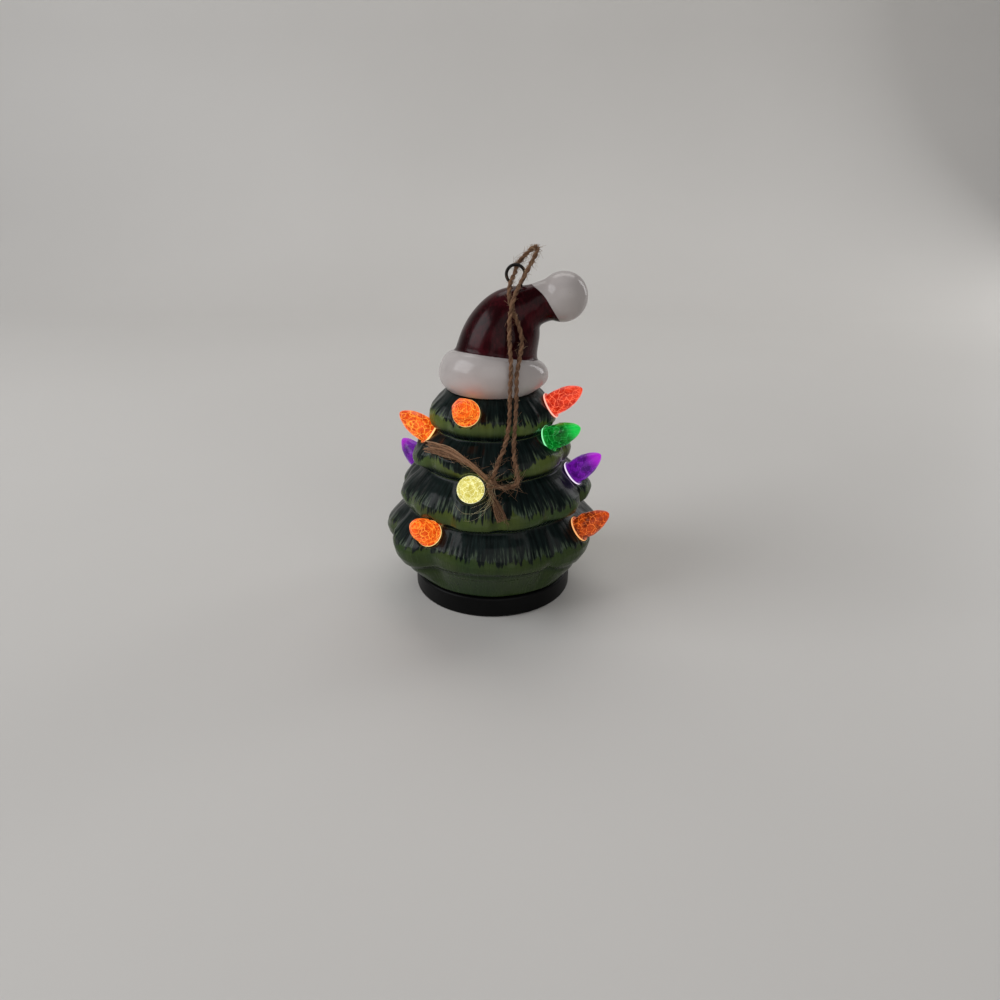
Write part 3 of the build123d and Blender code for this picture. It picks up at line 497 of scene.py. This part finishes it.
# Colours of the deepest body, the body, its cracks, the flange's edge and the tip, and how crazed it is
PEG_COLOURS = {
    "orange": ((0.52, 0.030, 0.002), (0.84, 0.090, 0.005), (1.0, 0.38, 0.042), (1.0, 0.74, 0.28),
               (0.95, 0.085, 0.006), 1.0),
    "amber": ((0.070, 0.006, 0.001), (0.32, 0.034, 0.003), (0.80, 0.17, 0.025), (0.98, 0.46, 0.17),
              (0.74, 0.070, 0.004), 0.75),
    "red": ((0.38, 0.007, 0.002), (0.68, 0.036, 0.010), (0.98, 0.170, 0.080), (1.0, 0.52, 0.40),
            (0.88, 0.045, 0.010), 0.95),
    "green": ((0.000, 0.050, 0.004), (0.001, 0.150, 0.012), (0.040, 0.520, 0.110), (0.30, 1.0, 0.46),
              (0.008, 0.720, 0.085), 0.5),
    "purple": ((0.040, 0.002, 0.100), (0.110, 0.005, 0.240), (0.260, 0.020, 0.520), (0.90, 0.78, 0.95),
               (0.480, 0.018, 0.640), 0.45),
    "yellow": ((0.48, 0.40, 0.040), (0.70, 0.63, 0.150), (0.98, 0.97, 0.520), (1.0, 0.97, 0.68),
               (0.78, 0.70, 0.200), 1.0),
}
PEG_COLOUR_OF = {
    "peg_row1_1": "orange", "peg_row1_2": "red", "peg_row1_3": "green", "peg_row1_4": "yellow",
    "peg_row2_1": "orange", "peg_row2_2": "green", "peg_row2_3": "purple",
    "peg_row3_1": "yellow", "peg_row3_2": "purple", "peg_row3_3": "red", "peg_row3_4": "purple",
    "peg_row4_1": "orange", "peg_row4_2": "amber", "peg_row4_3": "yellow", "peg_row4_4": "green",
}


def turned(profile, sides):
    """Points and faces of a profile turned about Z. Its first and last points are on the axis."""
    points = [(0, 0, profile[0][1])]
    for wide, height in profile[1:-1]:
        for side in range(sides):
            angle = 2 * math.pi * side / sides
            points.append((wide * math.cos(angle), wide * math.sin(angle), height))
    points.append((0, 0, profile[-1][1]))
    faces = []
    rings = len(profile) - 2
    for side in range(sides):
        after = (side + 1) % sides
        faces.append((0, 1 + after, 1 + side))
        for ring in range(rings - 1):
            low = 1 + ring * sides
            high = low + sides
            faces.append((low + side, low + after, high + after, high + side))
        top = 1 + (rings - 1) * sides
        faces.append((top + side, top + after, len(points) - 1))
    return np.array(points, float), faces


def crazed_plastic(name, deep, body, vein, ring, tip, crazing):
    """Lit translucent plastic: bright cracks and flecks in a deeper body, bright tip and flange edge."""
    material, flow = new_finish(name)
    point = flow.place()
    height = flow.mark("peg_height")
    off_axis = flow.mark("peg_radius")
    drift = flow.node("ShaderNodeTexNoise", {}, {"Vector": point, "Scale": 0.6}, 1)
    warped = flow.node("ShaderNodeVectorMath", {"operation": "ADD"}, {0: point, 1: drift})
    crack = 1 - flow.cells(warped, 0.55).step(0.0, 0.075)
    craze = 1 - flow.cells(warped, 1.35).step(0.0, 0.095)
    fleck = flow.noise(point, 1.7, 4.0, 0.65).step(0.48, 0.66)
    cloud = flow.noise(point, 0.4, 3.0)
    lit = (0.85 * crack + 0.5 * craze + 0.45 * fleck) * (crazing * (0.35 + cloud))
    shade = cloud.step(0.36, 0.64).blend(deep + (1,), body + (1,))
    cracked = lit.step(0.10, 0.95).blend(shade, vein + (1,))
    tipped = (height.step(6.5, 10.6) * (1.15 - crazing)).blend(cracked, tip + (1,))
    edge = off_axis.step(3.84, 3.96) * (1 - height.step(0.45, 0.75))
    return dress(material, {
        "Base Color": (0.1 + 0.1 * cloud).blend((0, 0, 0, 1), body + (1,)),
        "Emission Color": edge.blend(tipped, ring + (1,)),
        "Emission Strength": 1.1,
        "Roughness": 0.08 + 0.1 * cloud,
        "Specular IOR Level": 0.2,
        "Coat Weight": 0.12,
        "Coat Roughness": 0.05,
        "Normal": (crack + craze + cloud).bump(0.3, 0.15),
    })


peg_finish = {
    colour: crazed_plastic(colour + "_plastic", *shades) for colour, shades in PEG_COLOURS.items()
}
turned_points, peg_faces = turned(PEG_PROFILE + FLAME_PROFILE, PEG_SIDES)
flame = ease(*FLAME_FOOT, turned_points[:, 2])
for number, (peg_body, (seat, turn)) in enumerate(peg_seats.items()):
    colour = PEG_COLOUR_OF[peg_body]
    shape = turned_points.copy()
    pebble = lumps(shape * PEBBLE_SCALE, PEBBLE_SEED + number)
    pebble += FINE_SHARE * lumps(shape * FINE_SCALE, FINE_SEED + number)
    shape[:, :2] *= 1 + (PEBBLE_DEPTH * flame * (pebble - PEBBLE_SINK) / FLAME_RADIUS)[:, None]
    mesh = bpy.data.meshes.new(peg_body + "_lit")
    mesh.from_pydata(((seat + shape @ turn.T) * MM).tolist(), [], peg_faces)
    mesh.shade_smooth()
    mesh.materials.append(peg_finish[colour])
    peg = bpy.data.objects.new(peg_body + "_lit", mesh)
    bpy.context.scene.collection.objects.link(peg)
    keep_mark(peg, "peg_height", shape[:, 2])
    keep_mark(peg, "peg_radius", np.hypot(shape[:, 0], shape[:, 1]))
    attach(peg, peg_body)
    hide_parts(peg_body.replace("peg_", "bulb_"))


# Hat: a rolled brim, a bent cone and a ball, each modelled in clay and luted to the next, so that one skin
# runs over all three. The brim and ball carry a white glaze that thins over high spots, the cone a deep
# burgundy that looks black where it is thick and laps a little way over the neck of the ball.

# The cone's end where it meets the ball, and how far its glaze laps past it in the middle and at the bottom
CONE_END_TOP = np.array((11.2, 0.0, 95.0))
CONE_END_LOW = np.array((16.95, 0.0, 84.7))
CONE_LAP = 2.0
CONE_LAP_LOW = 0.3
# Unevenness that is left by the hand
HAND_DEPTH = 0.12
HAND_SPAN = 6.5
HAND_SEED = 42


def hat_glaze():
    """White and burgundy glazes that meet in a crisp line."""
    material, flow = new_finish("hat_glaze")
    burgundy = flow.mark("burgundy").step(-0.07, 0.07)
    cloud = flow.noise(flow.place(), 0.13, 4.0)
    speck = flow.noise(flow.place(), 1.6, 2.0).step(0.70, 0.76)
    brushed = flow.noise(flow.place(1, 1, 0.3), 1.1, 4.0, 0.6)
    pale = cloud.blend((0.40, 0.362, 0.348, 1), (0.53, 0.492, 0.478, 1))
    specked = (speck * 0.35).blend(pale, (0.30, 0.25, 0.20, 1))
    thin = (cloud * 0.6 + brushed * 0.5).step(0.45, 0.75)
    deep = thin.blend((0.0150, 0.0010, 0.0018, 1), (0.0560, 0.0042, 0.0075, 1))
    return dress(material, {
        "Base Color": burgundy.blend(specked, deep),
        "Roughness": 0.13 + 0.12 * cloud + 0.08 * burgundy * brushed,
        "Specular IOR Level": 0.09,
        "Coat Weight": 0.34 - 0.27 * burgundy,
        "Coat Roughness": 0.06,
        "Normal": (cloud + 0.3 * brushed * burgundy).bump(0.25, 0.2),
    })


def gap_to(node, places):
    """Distance of each place from a CAD solid, in millimetres."""
    solid = frame["nodes"][node].data
    skin = BVHTree.FromPolygons([vertex.co for vertex in solid.vertices],
                                [face.vertices for face in solid.polygons])
    return np.array([skin.find_nearest(spot * MM)[3] for spot in places]) / MM


hat = cast("hat_glazed", ["hat_brim", "hat_cone", "hat_pompom"], grain=0.3, melts=24)
spots, facing = points_of(hat)
spots += facing * (HAND_DEPTH * (lumps(spots / HAND_SPAN, HAND_SEED) - 0.5))[:, None]

# How far each spot lies past the cone's end, and how much nearer to the cone than to the brim
end_half = np.linalg.norm(CONE_END_LOW - CONE_END_TOP) / 2
down = (CONE_END_LOW - CONE_END_TOP) / (2 * end_half)
beyond = np.cross((0, -1, 0), down)
from_end = spots - (CONE_END_TOP + CONE_END_LOW) / 2
past_end = from_end @ beyond
share = np.clip(from_end @ down / end_half, -1, 1)
lap = np.where(share < 0, CONE_LAP * (1 - share * share), CONE_LAP + CONE_LAP_LOW * share)
nearer_cone = gap_to("hat_brim", spots) - gap_to("hat_cone", spots)
burgundy = np.minimum(lap - past_end, nearer_cone)

# The skin is parted along those lines, so that each clay piece can be taken on its own
hat_faces = np.array([face.vertices for face in hat.data.polygons])
face_nearer_cone = nearer_cone[hat_faces].mean(axis=1)
face_past = past_end[hat_faces].mean(axis=1)
bpy.data.objects.remove(hat)
hat_finish = hat_glaze()
for node, slot_name, chosen in (
    ("hat_brim", "white_glaze", (face_nearer_cone < 0) & (face_past <= 0)),
    ("hat_cone", "burgundy_glaze", (face_nearer_cone >= 0) & (face_past <= 0)),
    ("hat_pompom", "white_glaze", face_past > 0),
):
    used, faces = np.unique(hat_faces[chosen], return_inverse=True)
    mesh = bpy.data.meshes.new(node + "_glazed")
    mesh.from_pydata((spots[used] * MM).tolist(), [], faces.reshape(-1, 4).tolist())
    mesh.shade_smooth()
    mesh.normals_split_custom_set_from_vertices(facing[used].tolist())
    mesh.materials.append(hat_finish)
    piece = bpy.data.objects.new(node + "_glazed", mesh)
    bpy.context.scene.collection.objects.link(piece)
    keep_mark(piece, "burgundy", burgundy[used])
    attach(piece, "tree")
    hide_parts(node)


# Wire eye: a staple of annealed iron wire, bent round a pin, pushed into the wet clay at the top of the hat
# and fired there, so that the kiln has blackened it. The twine goes through it.
def kiln_black():
    """Iron with a dull black scale that is worn brown in places."""
    material, flow = new_finish("kiln_black_wire")
    scale = flow.noise(flow.place(), 2.2, 4.0)
    worn = scale.step(0.58, 0.72)
    return dress(material, {
        "Base Color": worn.blend((0.008, 0.007, 0.006, 1), (0.05, 0.04, 0.032, 1)),
        "Metallic": 0.6,
        "Roughness": 0.42 + 0.2 * scale,
        "Normal": scale.bump(0.4, 0.08),
    })


paint(kiln_black(), "hanger_loop")


# Twine: two-ply jute, doubled through the eye and tied in one knot in front of the tree. Loose fibres
# stand off it all along, and both tails are cut short and have begun to come apart.

# Points that pull each run, from the knot outward, and the place of the knot
LOOP_ROUTE = (
    (0.3, -26.0, 45.6), (1.4, -25.0, 49.6), (3.6, -23.0, 53.8), (5.0, -20.9, 59.4), (5.2, -17.5, 69.2),
    (5.5, -15.9, 76.0), (5.0, -13.2, 81.6), (4.9, -11.5, 86.6), (5.7, -9.6, 91.2), (7.4, -5.8, 94.9),
    (9.4, -2.6, 97.8), (11.3, -1.3, 101.2), (13.0, -0.5, 104.2), (12.2, 1.6, 105.2), (9.6, 2.5, 102.6),
    (7.1, 2.2, 100.0), (6.7, 0.0, 97.8), (5.4, -2.6, 96.0), (4.8, -5.6, 93.8), (5.2, -8.2, 90.9),
    (6.4, -10.1, 88.0), (7.8, -10.7, 84.9), (8.6, -11.6, 81.4), (8.1, -13.4, 78.0), (6.9, -16.3, 73.2),
    (7.0, -17.6, 67.8), (6.5, -20.9, 58.8), (6.1, -23.0, 53.0), (6.8, -24.8, 48.6), (7.6, -25.5, 45.4),
    (6.4, -26.0, 43.6), (3.4, -26.7, 43.4), (0.9, -26.6, 44.2),
)
LEFT_ROUTE = ((-1.1, -26.2, 45.9), (-4.9, -24.9, 49.4), (-8.8, -23.3, 51.2), (-12.2, -20.8, 52.2),
              (-16.0, -17.5, 52.0), (-19.8, -14.0, 51.4))
LOW_ROUTE = ((-0.5, -27.0, 43.1), (0.8, -27.3, 40.4), (2.0, -28.9, 37.4), (3.2, -30.2, 34.6))
KNOT_PLACE = (0.0, -26.5, 44.6)
# Two plies wound round each other, in the loop and more tightly in the knot, whose line is a trefoil
PLY_RADIUS = 0.36
PLY_OFFSET = 0.31
PLY_PITCH = 4.2
PLY_SIDES = 10
PLY_SEED = 51
KNOT_WIDTH = 0.775
KNOT_SWAY = 0.375
KNOT_DEPTH = 0.45
KNOT_PLY_OFFSET = 0.24
KNOT_PITCH = 3.4
KNOT_STEPS = 97
KNOT_SEED = 90
# How much thicker and thinner a ply gets, and over what scale
UNEVEN_DEPTH = 0.16
UNEVEN_SCALE = 0.9
# Steps, sides, and radius at the root and at the end, of loose fibres and curled hairs
FIBRE_SIDES = 6
STRAY_STEPS = 7
STRAY_RADIUS = (0.05, 0.022)
HAIR_STEPS = 13
HAIR_SIDES = 3
HAIR_RADIUS = (0.034, 0.02)
# Loose fibres stay this far inside the object's box
BOX_MARGIN = 0.1
# Heights: the loop's ends lie below the first, and it goes past the eye between the other two
LOOP_ENDS = 50
EYE_FOOT = 94
EYE_TOP = 99
dice = random.Random(7)


def route_line(route):
    """Points along the smooth curve that a route's points pull, in millimetres."""
    curve = bpy.data.curves.new("route", "CURVE")
    curve.dimensions = "3D"
    spline = curve.splines.new("NURBS")
    spline.points.add(len(route) - 1)
    for point, spot in zip(spline.points, route):
        point.co = (*(part * MM for part in spot), 1)
    spline.order_u = 3
    spline.use_endpoint_u = True
    spline.resolution_u = 12
    holder = bpy.data.objects.new("route", curve)
    line = np.array([vertex.co for vertex in bpy.data.meshes.new_from_object(holder).vertices]) / MM
    bpy.data.objects.remove(holder)
    return line


def sides_of(line):
    """Two directions across a line at each point, carried along without twist, and the length so far."""
    ahead = np.gradient(line, axis=0)
    ahead /= np.linalg.norm(ahead, axis=1)[:, None]
    first = np.cross(ahead[0], (0.3, 0.5, 0.8))
    across = []
    for direction in ahead:
        first = first - direction * (first @ direction)
        first /= np.linalg.norm(first)
        across.append(first)
    across = np.array(across)
    steps = np.linalg.norm(np.diff(line, axis=0), axis=1)
    return across, np.cross(ahead, across), np.concatenate([[0], np.cumsum(steps)])


def twisted(line, offset, pitch, start):
    """A ply's own line, wound round the middle of the cord."""
    across, up, length = sides_of(line)
    angle = start + 2 * math.pi * length / pitch
    return line + (offset * np.cos(angle))[:, None] * across + (offset * np.sin(angle))[:, None] * up


class Bundle:
    """Tubes gathered into one mesh."""

    def __init__(self):
        self.points = []
        self.faces = []
        self.tints = []

    def add(self, line, radii, sides, tint=0.4):
        """A tube along a line, as thick at each point as the radii say, closed at both ends."""
        across, up, _ = sides_of(line)
        start = len(self.points)
        self.tints += [tint] * (len(line) * sides)
        for middle, right, top, thick in zip(line, across, up, radii):
            for side in range(sides):
                angle = 2 * math.pi * side / sides
                self.points.append(middle + thick * (math.cos(angle) * right + math.sin(angle) * top))
        for ring in range(len(line) - 1):
            low = start + ring * sides
            for side in range(sides):
                after = (side + 1) % sides
                self.faces.append((low + side, low + after, low + sides + after, low + sides + side))
        last = start + (len(line) - 1) * sides
        self.faces.append(tuple(range(start + sides - 1, start - 1, -1)))
        self.faces.append(tuple(range(last, last + sides)))

    def piece(self, name, material):
        """All the tubes as one piece of twine, which rides on the tree."""
        mesh = bpy.data.meshes.new(name)
        mesh.from_pydata((np.array(self.points) * MM).tolist(), [], self.faces)
        mesh.shade_smooth()
        mesh.materials.append(material)
        made = bpy.data.objects.new(name, mesh)
        bpy.context.scene.collection.objects.link(made)
        keep_mark(made, "tint", np.array(self.tints))
        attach(made, "tree")
        return made


def uneven(line, thick, seed):
    """Thickness along a ply, with thick and thin places."""
    return thick * (1 + UNEVEN_DEPTH * lumps(line * UNEVEN_SCALE, seed))


def stray(bundle, line, count, reach, off):
    """Loose fibres that start in the cord and stand off it in slack curves, within the object's box."""
    across, up, _ = sides_of(line)
    ahead = np.gradient(line, axis=0)
    ahead /= np.linalg.norm(ahead, axis=1)[:, None]
    lowest, highest = (np.array(corner) / MM for corner in cad_box)
    for _ in range(count):
        at = dice.randrange(len(line))
        angle = dice.uniform(0, 2 * math.pi)
        outward = math.cos(angle) * across[at] + math.sin(angle) * up[at]
        lean = ahead[at] * dice.choice((-1, 1)) * dice.uniform(0.4, 1.6)
        curl = np.array([dice.uniform(-1, 1) for _ in range(3)])
        long = reach * dice.uniform(0.35, 1.0)
        fibre = []
        for part in np.linspace(0, 1, STRAY_STEPS):
            fibre.append(line[at] + outward * (off + long * part * (1 - 0.4 * part))
                         + lean * long * part + curl * long * 0.7 * part * part)
        fibre = np.clip(fibre, lowest + BOX_MARGIN, highest - BOX_MARGIN)
        bundle.add(fibre, np.linspace(*STRAY_RADIUS, STRAY_STEPS), HAIR_SIDES, dice.uniform(0.4, 0.9))


def ribbon(bundle, line, count, start_width, end_width, thick, seed, paler):
    """Fibres that have come untwisted and lie side by side against the tree, cut off unevenly."""
    ahead = np.gradient(line, axis=0)
    outward = line * (1, 1, 0)
    outward /= np.linalg.norm(outward, axis=1)[:, None]
    outward = outward + np.array((0, 0, 0.4))
    wide = np.cross(ahead, outward)
    wide /= np.linalg.norm(wide, axis=1)[:, None]
    proud = np.cross(wide, ahead)
    proud /= np.linalg.norm(proud, axis=1)[:, None]
    opened = start_width + (end_width - start_width) * ease(0.1, 0.8, np.linspace(0, 1, len(line)))
    for fibre in range(count):
        place_across = (fibre + dice.uniform(-0.4, 0.4)) / (count - 1) - 0.5
        layer = dice.uniform(-0.35, 0.35)
        wave = lumps(line * 0.3 + 9 * fibre, seed)
        lift = lumps(line * 0.4 + 7 * fibre, seed + 1)
        strand = line + wide * (opened * (place_across + 0.12 * wave))[:, None]
        strand = strand + proud * (layer + 0.22 * lift)[:, None]
        cut = len(line) - dice.randrange(1, max(2, len(line) // 10))
        radii = uneven(strand[:cut], thick * dice.uniform(0.7, 1.2), seed + 2)
        bundle.add(strand[:cut], radii, FIBRE_SIDES, paler + dice.uniform(0.05, 0.55))


def curled_hairs(bundle, seat, turn, count):
    """Hairs that leave the knot and curl round the peg beside it."""
    knot_local = (np.array(KNOT_PLACE) - seat) @ turn
    begin_angle = math.atan2(knot_local[1], knot_local[0])
    begin_wide = math.hypot(knot_local[0], knot_local[1])
    for _ in range(count):
        sweep = dice.uniform(0.8, 2.6) * dice.choice((-1, -1, 1))
        begin = begin_angle + dice.uniform(-0.7, 0.7)
        begin_at = begin_wide * dice.uniform(0.8, 1.15)
        wide = dice.uniform(4.6, 9.5)
        out = dice.uniform(3.2, 6.4)
        wobble = dice.uniform(0, 2 * math.pi)
        hair = []
        for part in np.linspace(0, 1, HAIR_STEPS):
            angle = begin + sweep * part
            reach = begin_at + (wide - begin_at) * part + 0.9 * part * math.sin(6 * part + wobble)
            depth = knot_local[2] + (out - knot_local[2]) * part
            hair.append(seat + turn @ np.array((reach * math.cos(angle), reach * math.sin(angle), depth)))
        bundle.add(np.array(hair), np.linspace(*HAIR_RADIUS, HAIR_STEPS), HAIR_SIDES, tint=1.0)


def jute():
    """Jute: each fibre has its own tint, paler where it is single."""
    material, flow = new_finish("jute_fibre")
    strand = flow.noise(flow.place(), 2.6, 5.0, 0.65)
    length = flow.noise(flow.place(), 0.25, 2.0)
    tint = flow.mark("tint")
    pale = strand * 0.6 + length * 0.3 + tint * 0.75 - 0.4
    brown = pale.step(0.0, 0.8).blend((0.058, 0.027, 0.015, 1), (0.37, 0.208, 0.118, 1))
    return dress(material, {
        "Base Color": tint.step(0.75, 0.98).blend(brown, (0.62, 0.55, 0.36, 1)),
        "Roughness": 0.75 + 0.15 * strand,
        "Specular IOR Level": 0.2,
        "Normal": strand.bump(0.6, 0.12),
    })


jute_fibre = jute()
loop_line = route_line(LOOP_ROUTE)
loop_bundle = Bundle()
for ply in range(2):
    ply_line = twisted(loop_line, PLY_OFFSET, PLY_PITCH, math.pi * ply)
    radii = uneven(ply_line, PLY_RADIUS, PLY_SEED + ply)
    loop_bundle.add(ply_line, radii, PLY_SIDES, tint=0.3 + 0.15 * ply)
twine_loop = loop_bundle.piece("twine_loop_plies", jute_fibre)
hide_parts("twine_loop")

left_line = route_line(LEFT_ROUTE)
left_bundle = Bundle()
ribbon(left_bundle, left_line, count=26, start_width=1.2, end_width=2.9, thick=0.17, seed=60, paler=0.28)
left_tail = left_bundle.piece("twine_tail_left_plies", jute_fibre)
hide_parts("twine_tail_left")

low_line = route_line(LOW_ROUTE)
low_bundle = Bundle()
ribbon(low_bundle, low_line, count=18, start_width=1.0, end_width=2.7, thick=0.15, seed=80, paler=0.1)
low_tail = low_bundle.piece("twine_tail_low_plies", jute_fibre)
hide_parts("twine_tail_low")

knot_bundle = Bundle()
knot_turn = np.linspace(0, 2 * math.pi, KNOT_STEPS)
knot_wide = KNOT_WIDTH + KNOT_SWAY * np.cos(3 * knot_turn)
knot_line = KNOT_PLACE + np.column_stack([
    knot_wide * np.cos(2 * knot_turn),
    KNOT_DEPTH * np.sin(3 * knot_turn),
    knot_wide * np.sin(2 * knot_turn),
])
for ply in range(2):
    ply_line = twisted(knot_line, KNOT_PLY_OFFSET, KNOT_PITCH, math.pi * ply)
    knot_bundle.add(ply_line, uneven(ply_line, PLY_RADIUS, KNOT_SEED + ply), PLY_SIDES)
knot = knot_bundle.piece("twine_knot_turns", jute_fibre)
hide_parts("twine_knot")

# Most fibres stand off the worn top of the loop and the ends by the knot, and a few long ones by the eye
fuzz_bundle = Bundle()
loop_height = loop_line[:, 2]
stray(fuzz_bundle, loop_line, count=320, reach=1.4, off=0.45)
stray(fuzz_bundle, loop_line[loop_height > EYE_TOP], count=260, reach=2.0, off=0.3)
by_eye = (loop_height > EYE_FOOT) & (loop_height < EYE_TOP)
stray(fuzz_bundle, loop_line[by_eye], count=12, reach=5.0, off=0.3)
stray(fuzz_bundle, loop_line[loop_height < LOOP_ENDS], count=130, reach=3.2, off=0.4)
stray(fuzz_bundle, left_line, count=90, reach=2.8, off=0.6)
stray(fuzz_bundle, low_line, count=80, reach=2.4, off=0.5)
stray(fuzz_bundle, knot_line, count=60, reach=2.6, off=0.3)
curled_hairs(fuzz_bundle, *peg_seats["peg_row3_1"], count=10)
fuzz = fuzz_bundle.piece("twine_fuzz", jute_fibre)


# Stage: a pale paper sweep that curves up behind the tree, soft light from the left and front, and the
# camera, which looks down on the tree from a little above.
def sweep_finish():
    """Matt pale paper, a little clouded."""
    material, flow = new_finish("pale_sweep")
    cloud = flow.noise(flow.place(), 0.004, 3.0)
    return dress(material, {
        "Base Color": cloud.blend((0.60, 0.585, 0.56, 1), (0.66, 0.645, 0.62, 1)),
        "Roughness": 0.55,
    })


SWEEP_FRONT = -1.2
SWEEP_BACK = 0.45
BEND_RADIUS = 0.25
BEND_STEPS = 12
SWEEP_HEIGHT = 1.6
SWEEP_HALF_WIDTH = 1.6
sweep_profile = [(SWEEP_FRONT, 0.0), (SWEEP_BACK, 0.0)]
for step in range(1, BEND_STEPS + 1):
    angle = math.radians(90 * step / BEND_STEPS)
    bend_height = BEND_RADIUS - BEND_RADIUS * math.cos(angle)
    sweep_profile.append((SWEEP_BACK + BEND_RADIUS * math.sin(angle), bend_height))
sweep_profile.append((SWEEP_BACK + BEND_RADIUS, SWEEP_HEIGHT))
sweep_points = [(x, y, z) for y, z in sweep_profile for x in (-SWEEP_HALF_WIDTH, SWEEP_HALF_WIDTH)]
sweep_faces = []
for row in range(len(sweep_profile) - 1):
    sweep_faces.append((2 * row, 2 * row + 1, 2 * row + 3, 2 * row + 2))
sweep_mesh = bpy.data.meshes.new("sweep")
sweep_mesh.from_pydata(sweep_points, [], sweep_faces)
sweep_mesh.shade_smooth()
sweep_mesh.materials.append(sweep_finish())
floor = bpy.data.objects.new("floor", sweep_mesh)
bpy.context.scene.collection.objects.link(floor)


def softbox(name, place, aim, width, height, power, colour):
    """A lamp behind a wide cloth, turned to face its aim."""
    lamp = bpy.data.lights.new(name, "AREA")
    lamp.shape = "RECTANGLE"
    lamp.size = width
    lamp.size_y = height
    lamp.energy = power
    lamp.color = colour
    holder = bpy.data.objects.new(name, lamp)
    holder.location = place
    holder.rotation_euler = (Vector(aim) - Vector(place)).to_track_quat("-Z", "Y").to_euler()
    bpy.context.scene.collection.objects.link(holder)


softbox("key", (-0.80, -0.20, 0.55), (0, 0, 0.05), width=0.7, height=0.6, power=5.0,
        colour=(0.97, 0.98, 1.0))
softbox("front", (0.20, -0.95, 0.55), (0, 0, 0.05), width=1.5, height=0.9, power=4.0,
        colour=(1.0, 0.97, 0.94))
softbox("back", (0.05, 0.55, 0.85), (0, 0, 0.05), width=0.9, height=0.4, power=2.6,
        colour=(1.0, 0.98, 0.95))
softbox("edge", (0.60, 0.42, 0.30), (0, 0, 0.07), width=0.2, height=0.5, power=0.9,
        colour=(1.0, 1.0, 1.0))

world = bpy.data.worlds.new("studio")
world.use_nodes = True
sky = world.node_tree.nodes["Background"]
sky.inputs["Color"].default_value = (0.9, 0.92, 1.0, 1)
sky.inputs["Strength"].default_value = 0.12
bpy.context.scene.world = world
bpy.context.scene.view_settings.view_transform = "Standard"

LENS_LENGTH = 27.04
SENSOR_WIDTH = 36.0
CAMERA_PLACE = (0.0024, -0.21869, 0.12626)
CAMERA_TILT = 65.8
lens = bpy.data.cameras.new("camera")
lens.lens = LENS_LENGTH
lens.sensor_width = SENSOR_WIDTH
lens.clip_start = 0.01
camera = bpy.data.objects.new("camera", lens)
camera.location = CAMERA_PLACE
camera.rotation_euler = (math.radians(CAMERA_TILT), 0, 0)
bpy.context.scene.collection.objects.link(camera)
bpy.context.scene.camera = camera
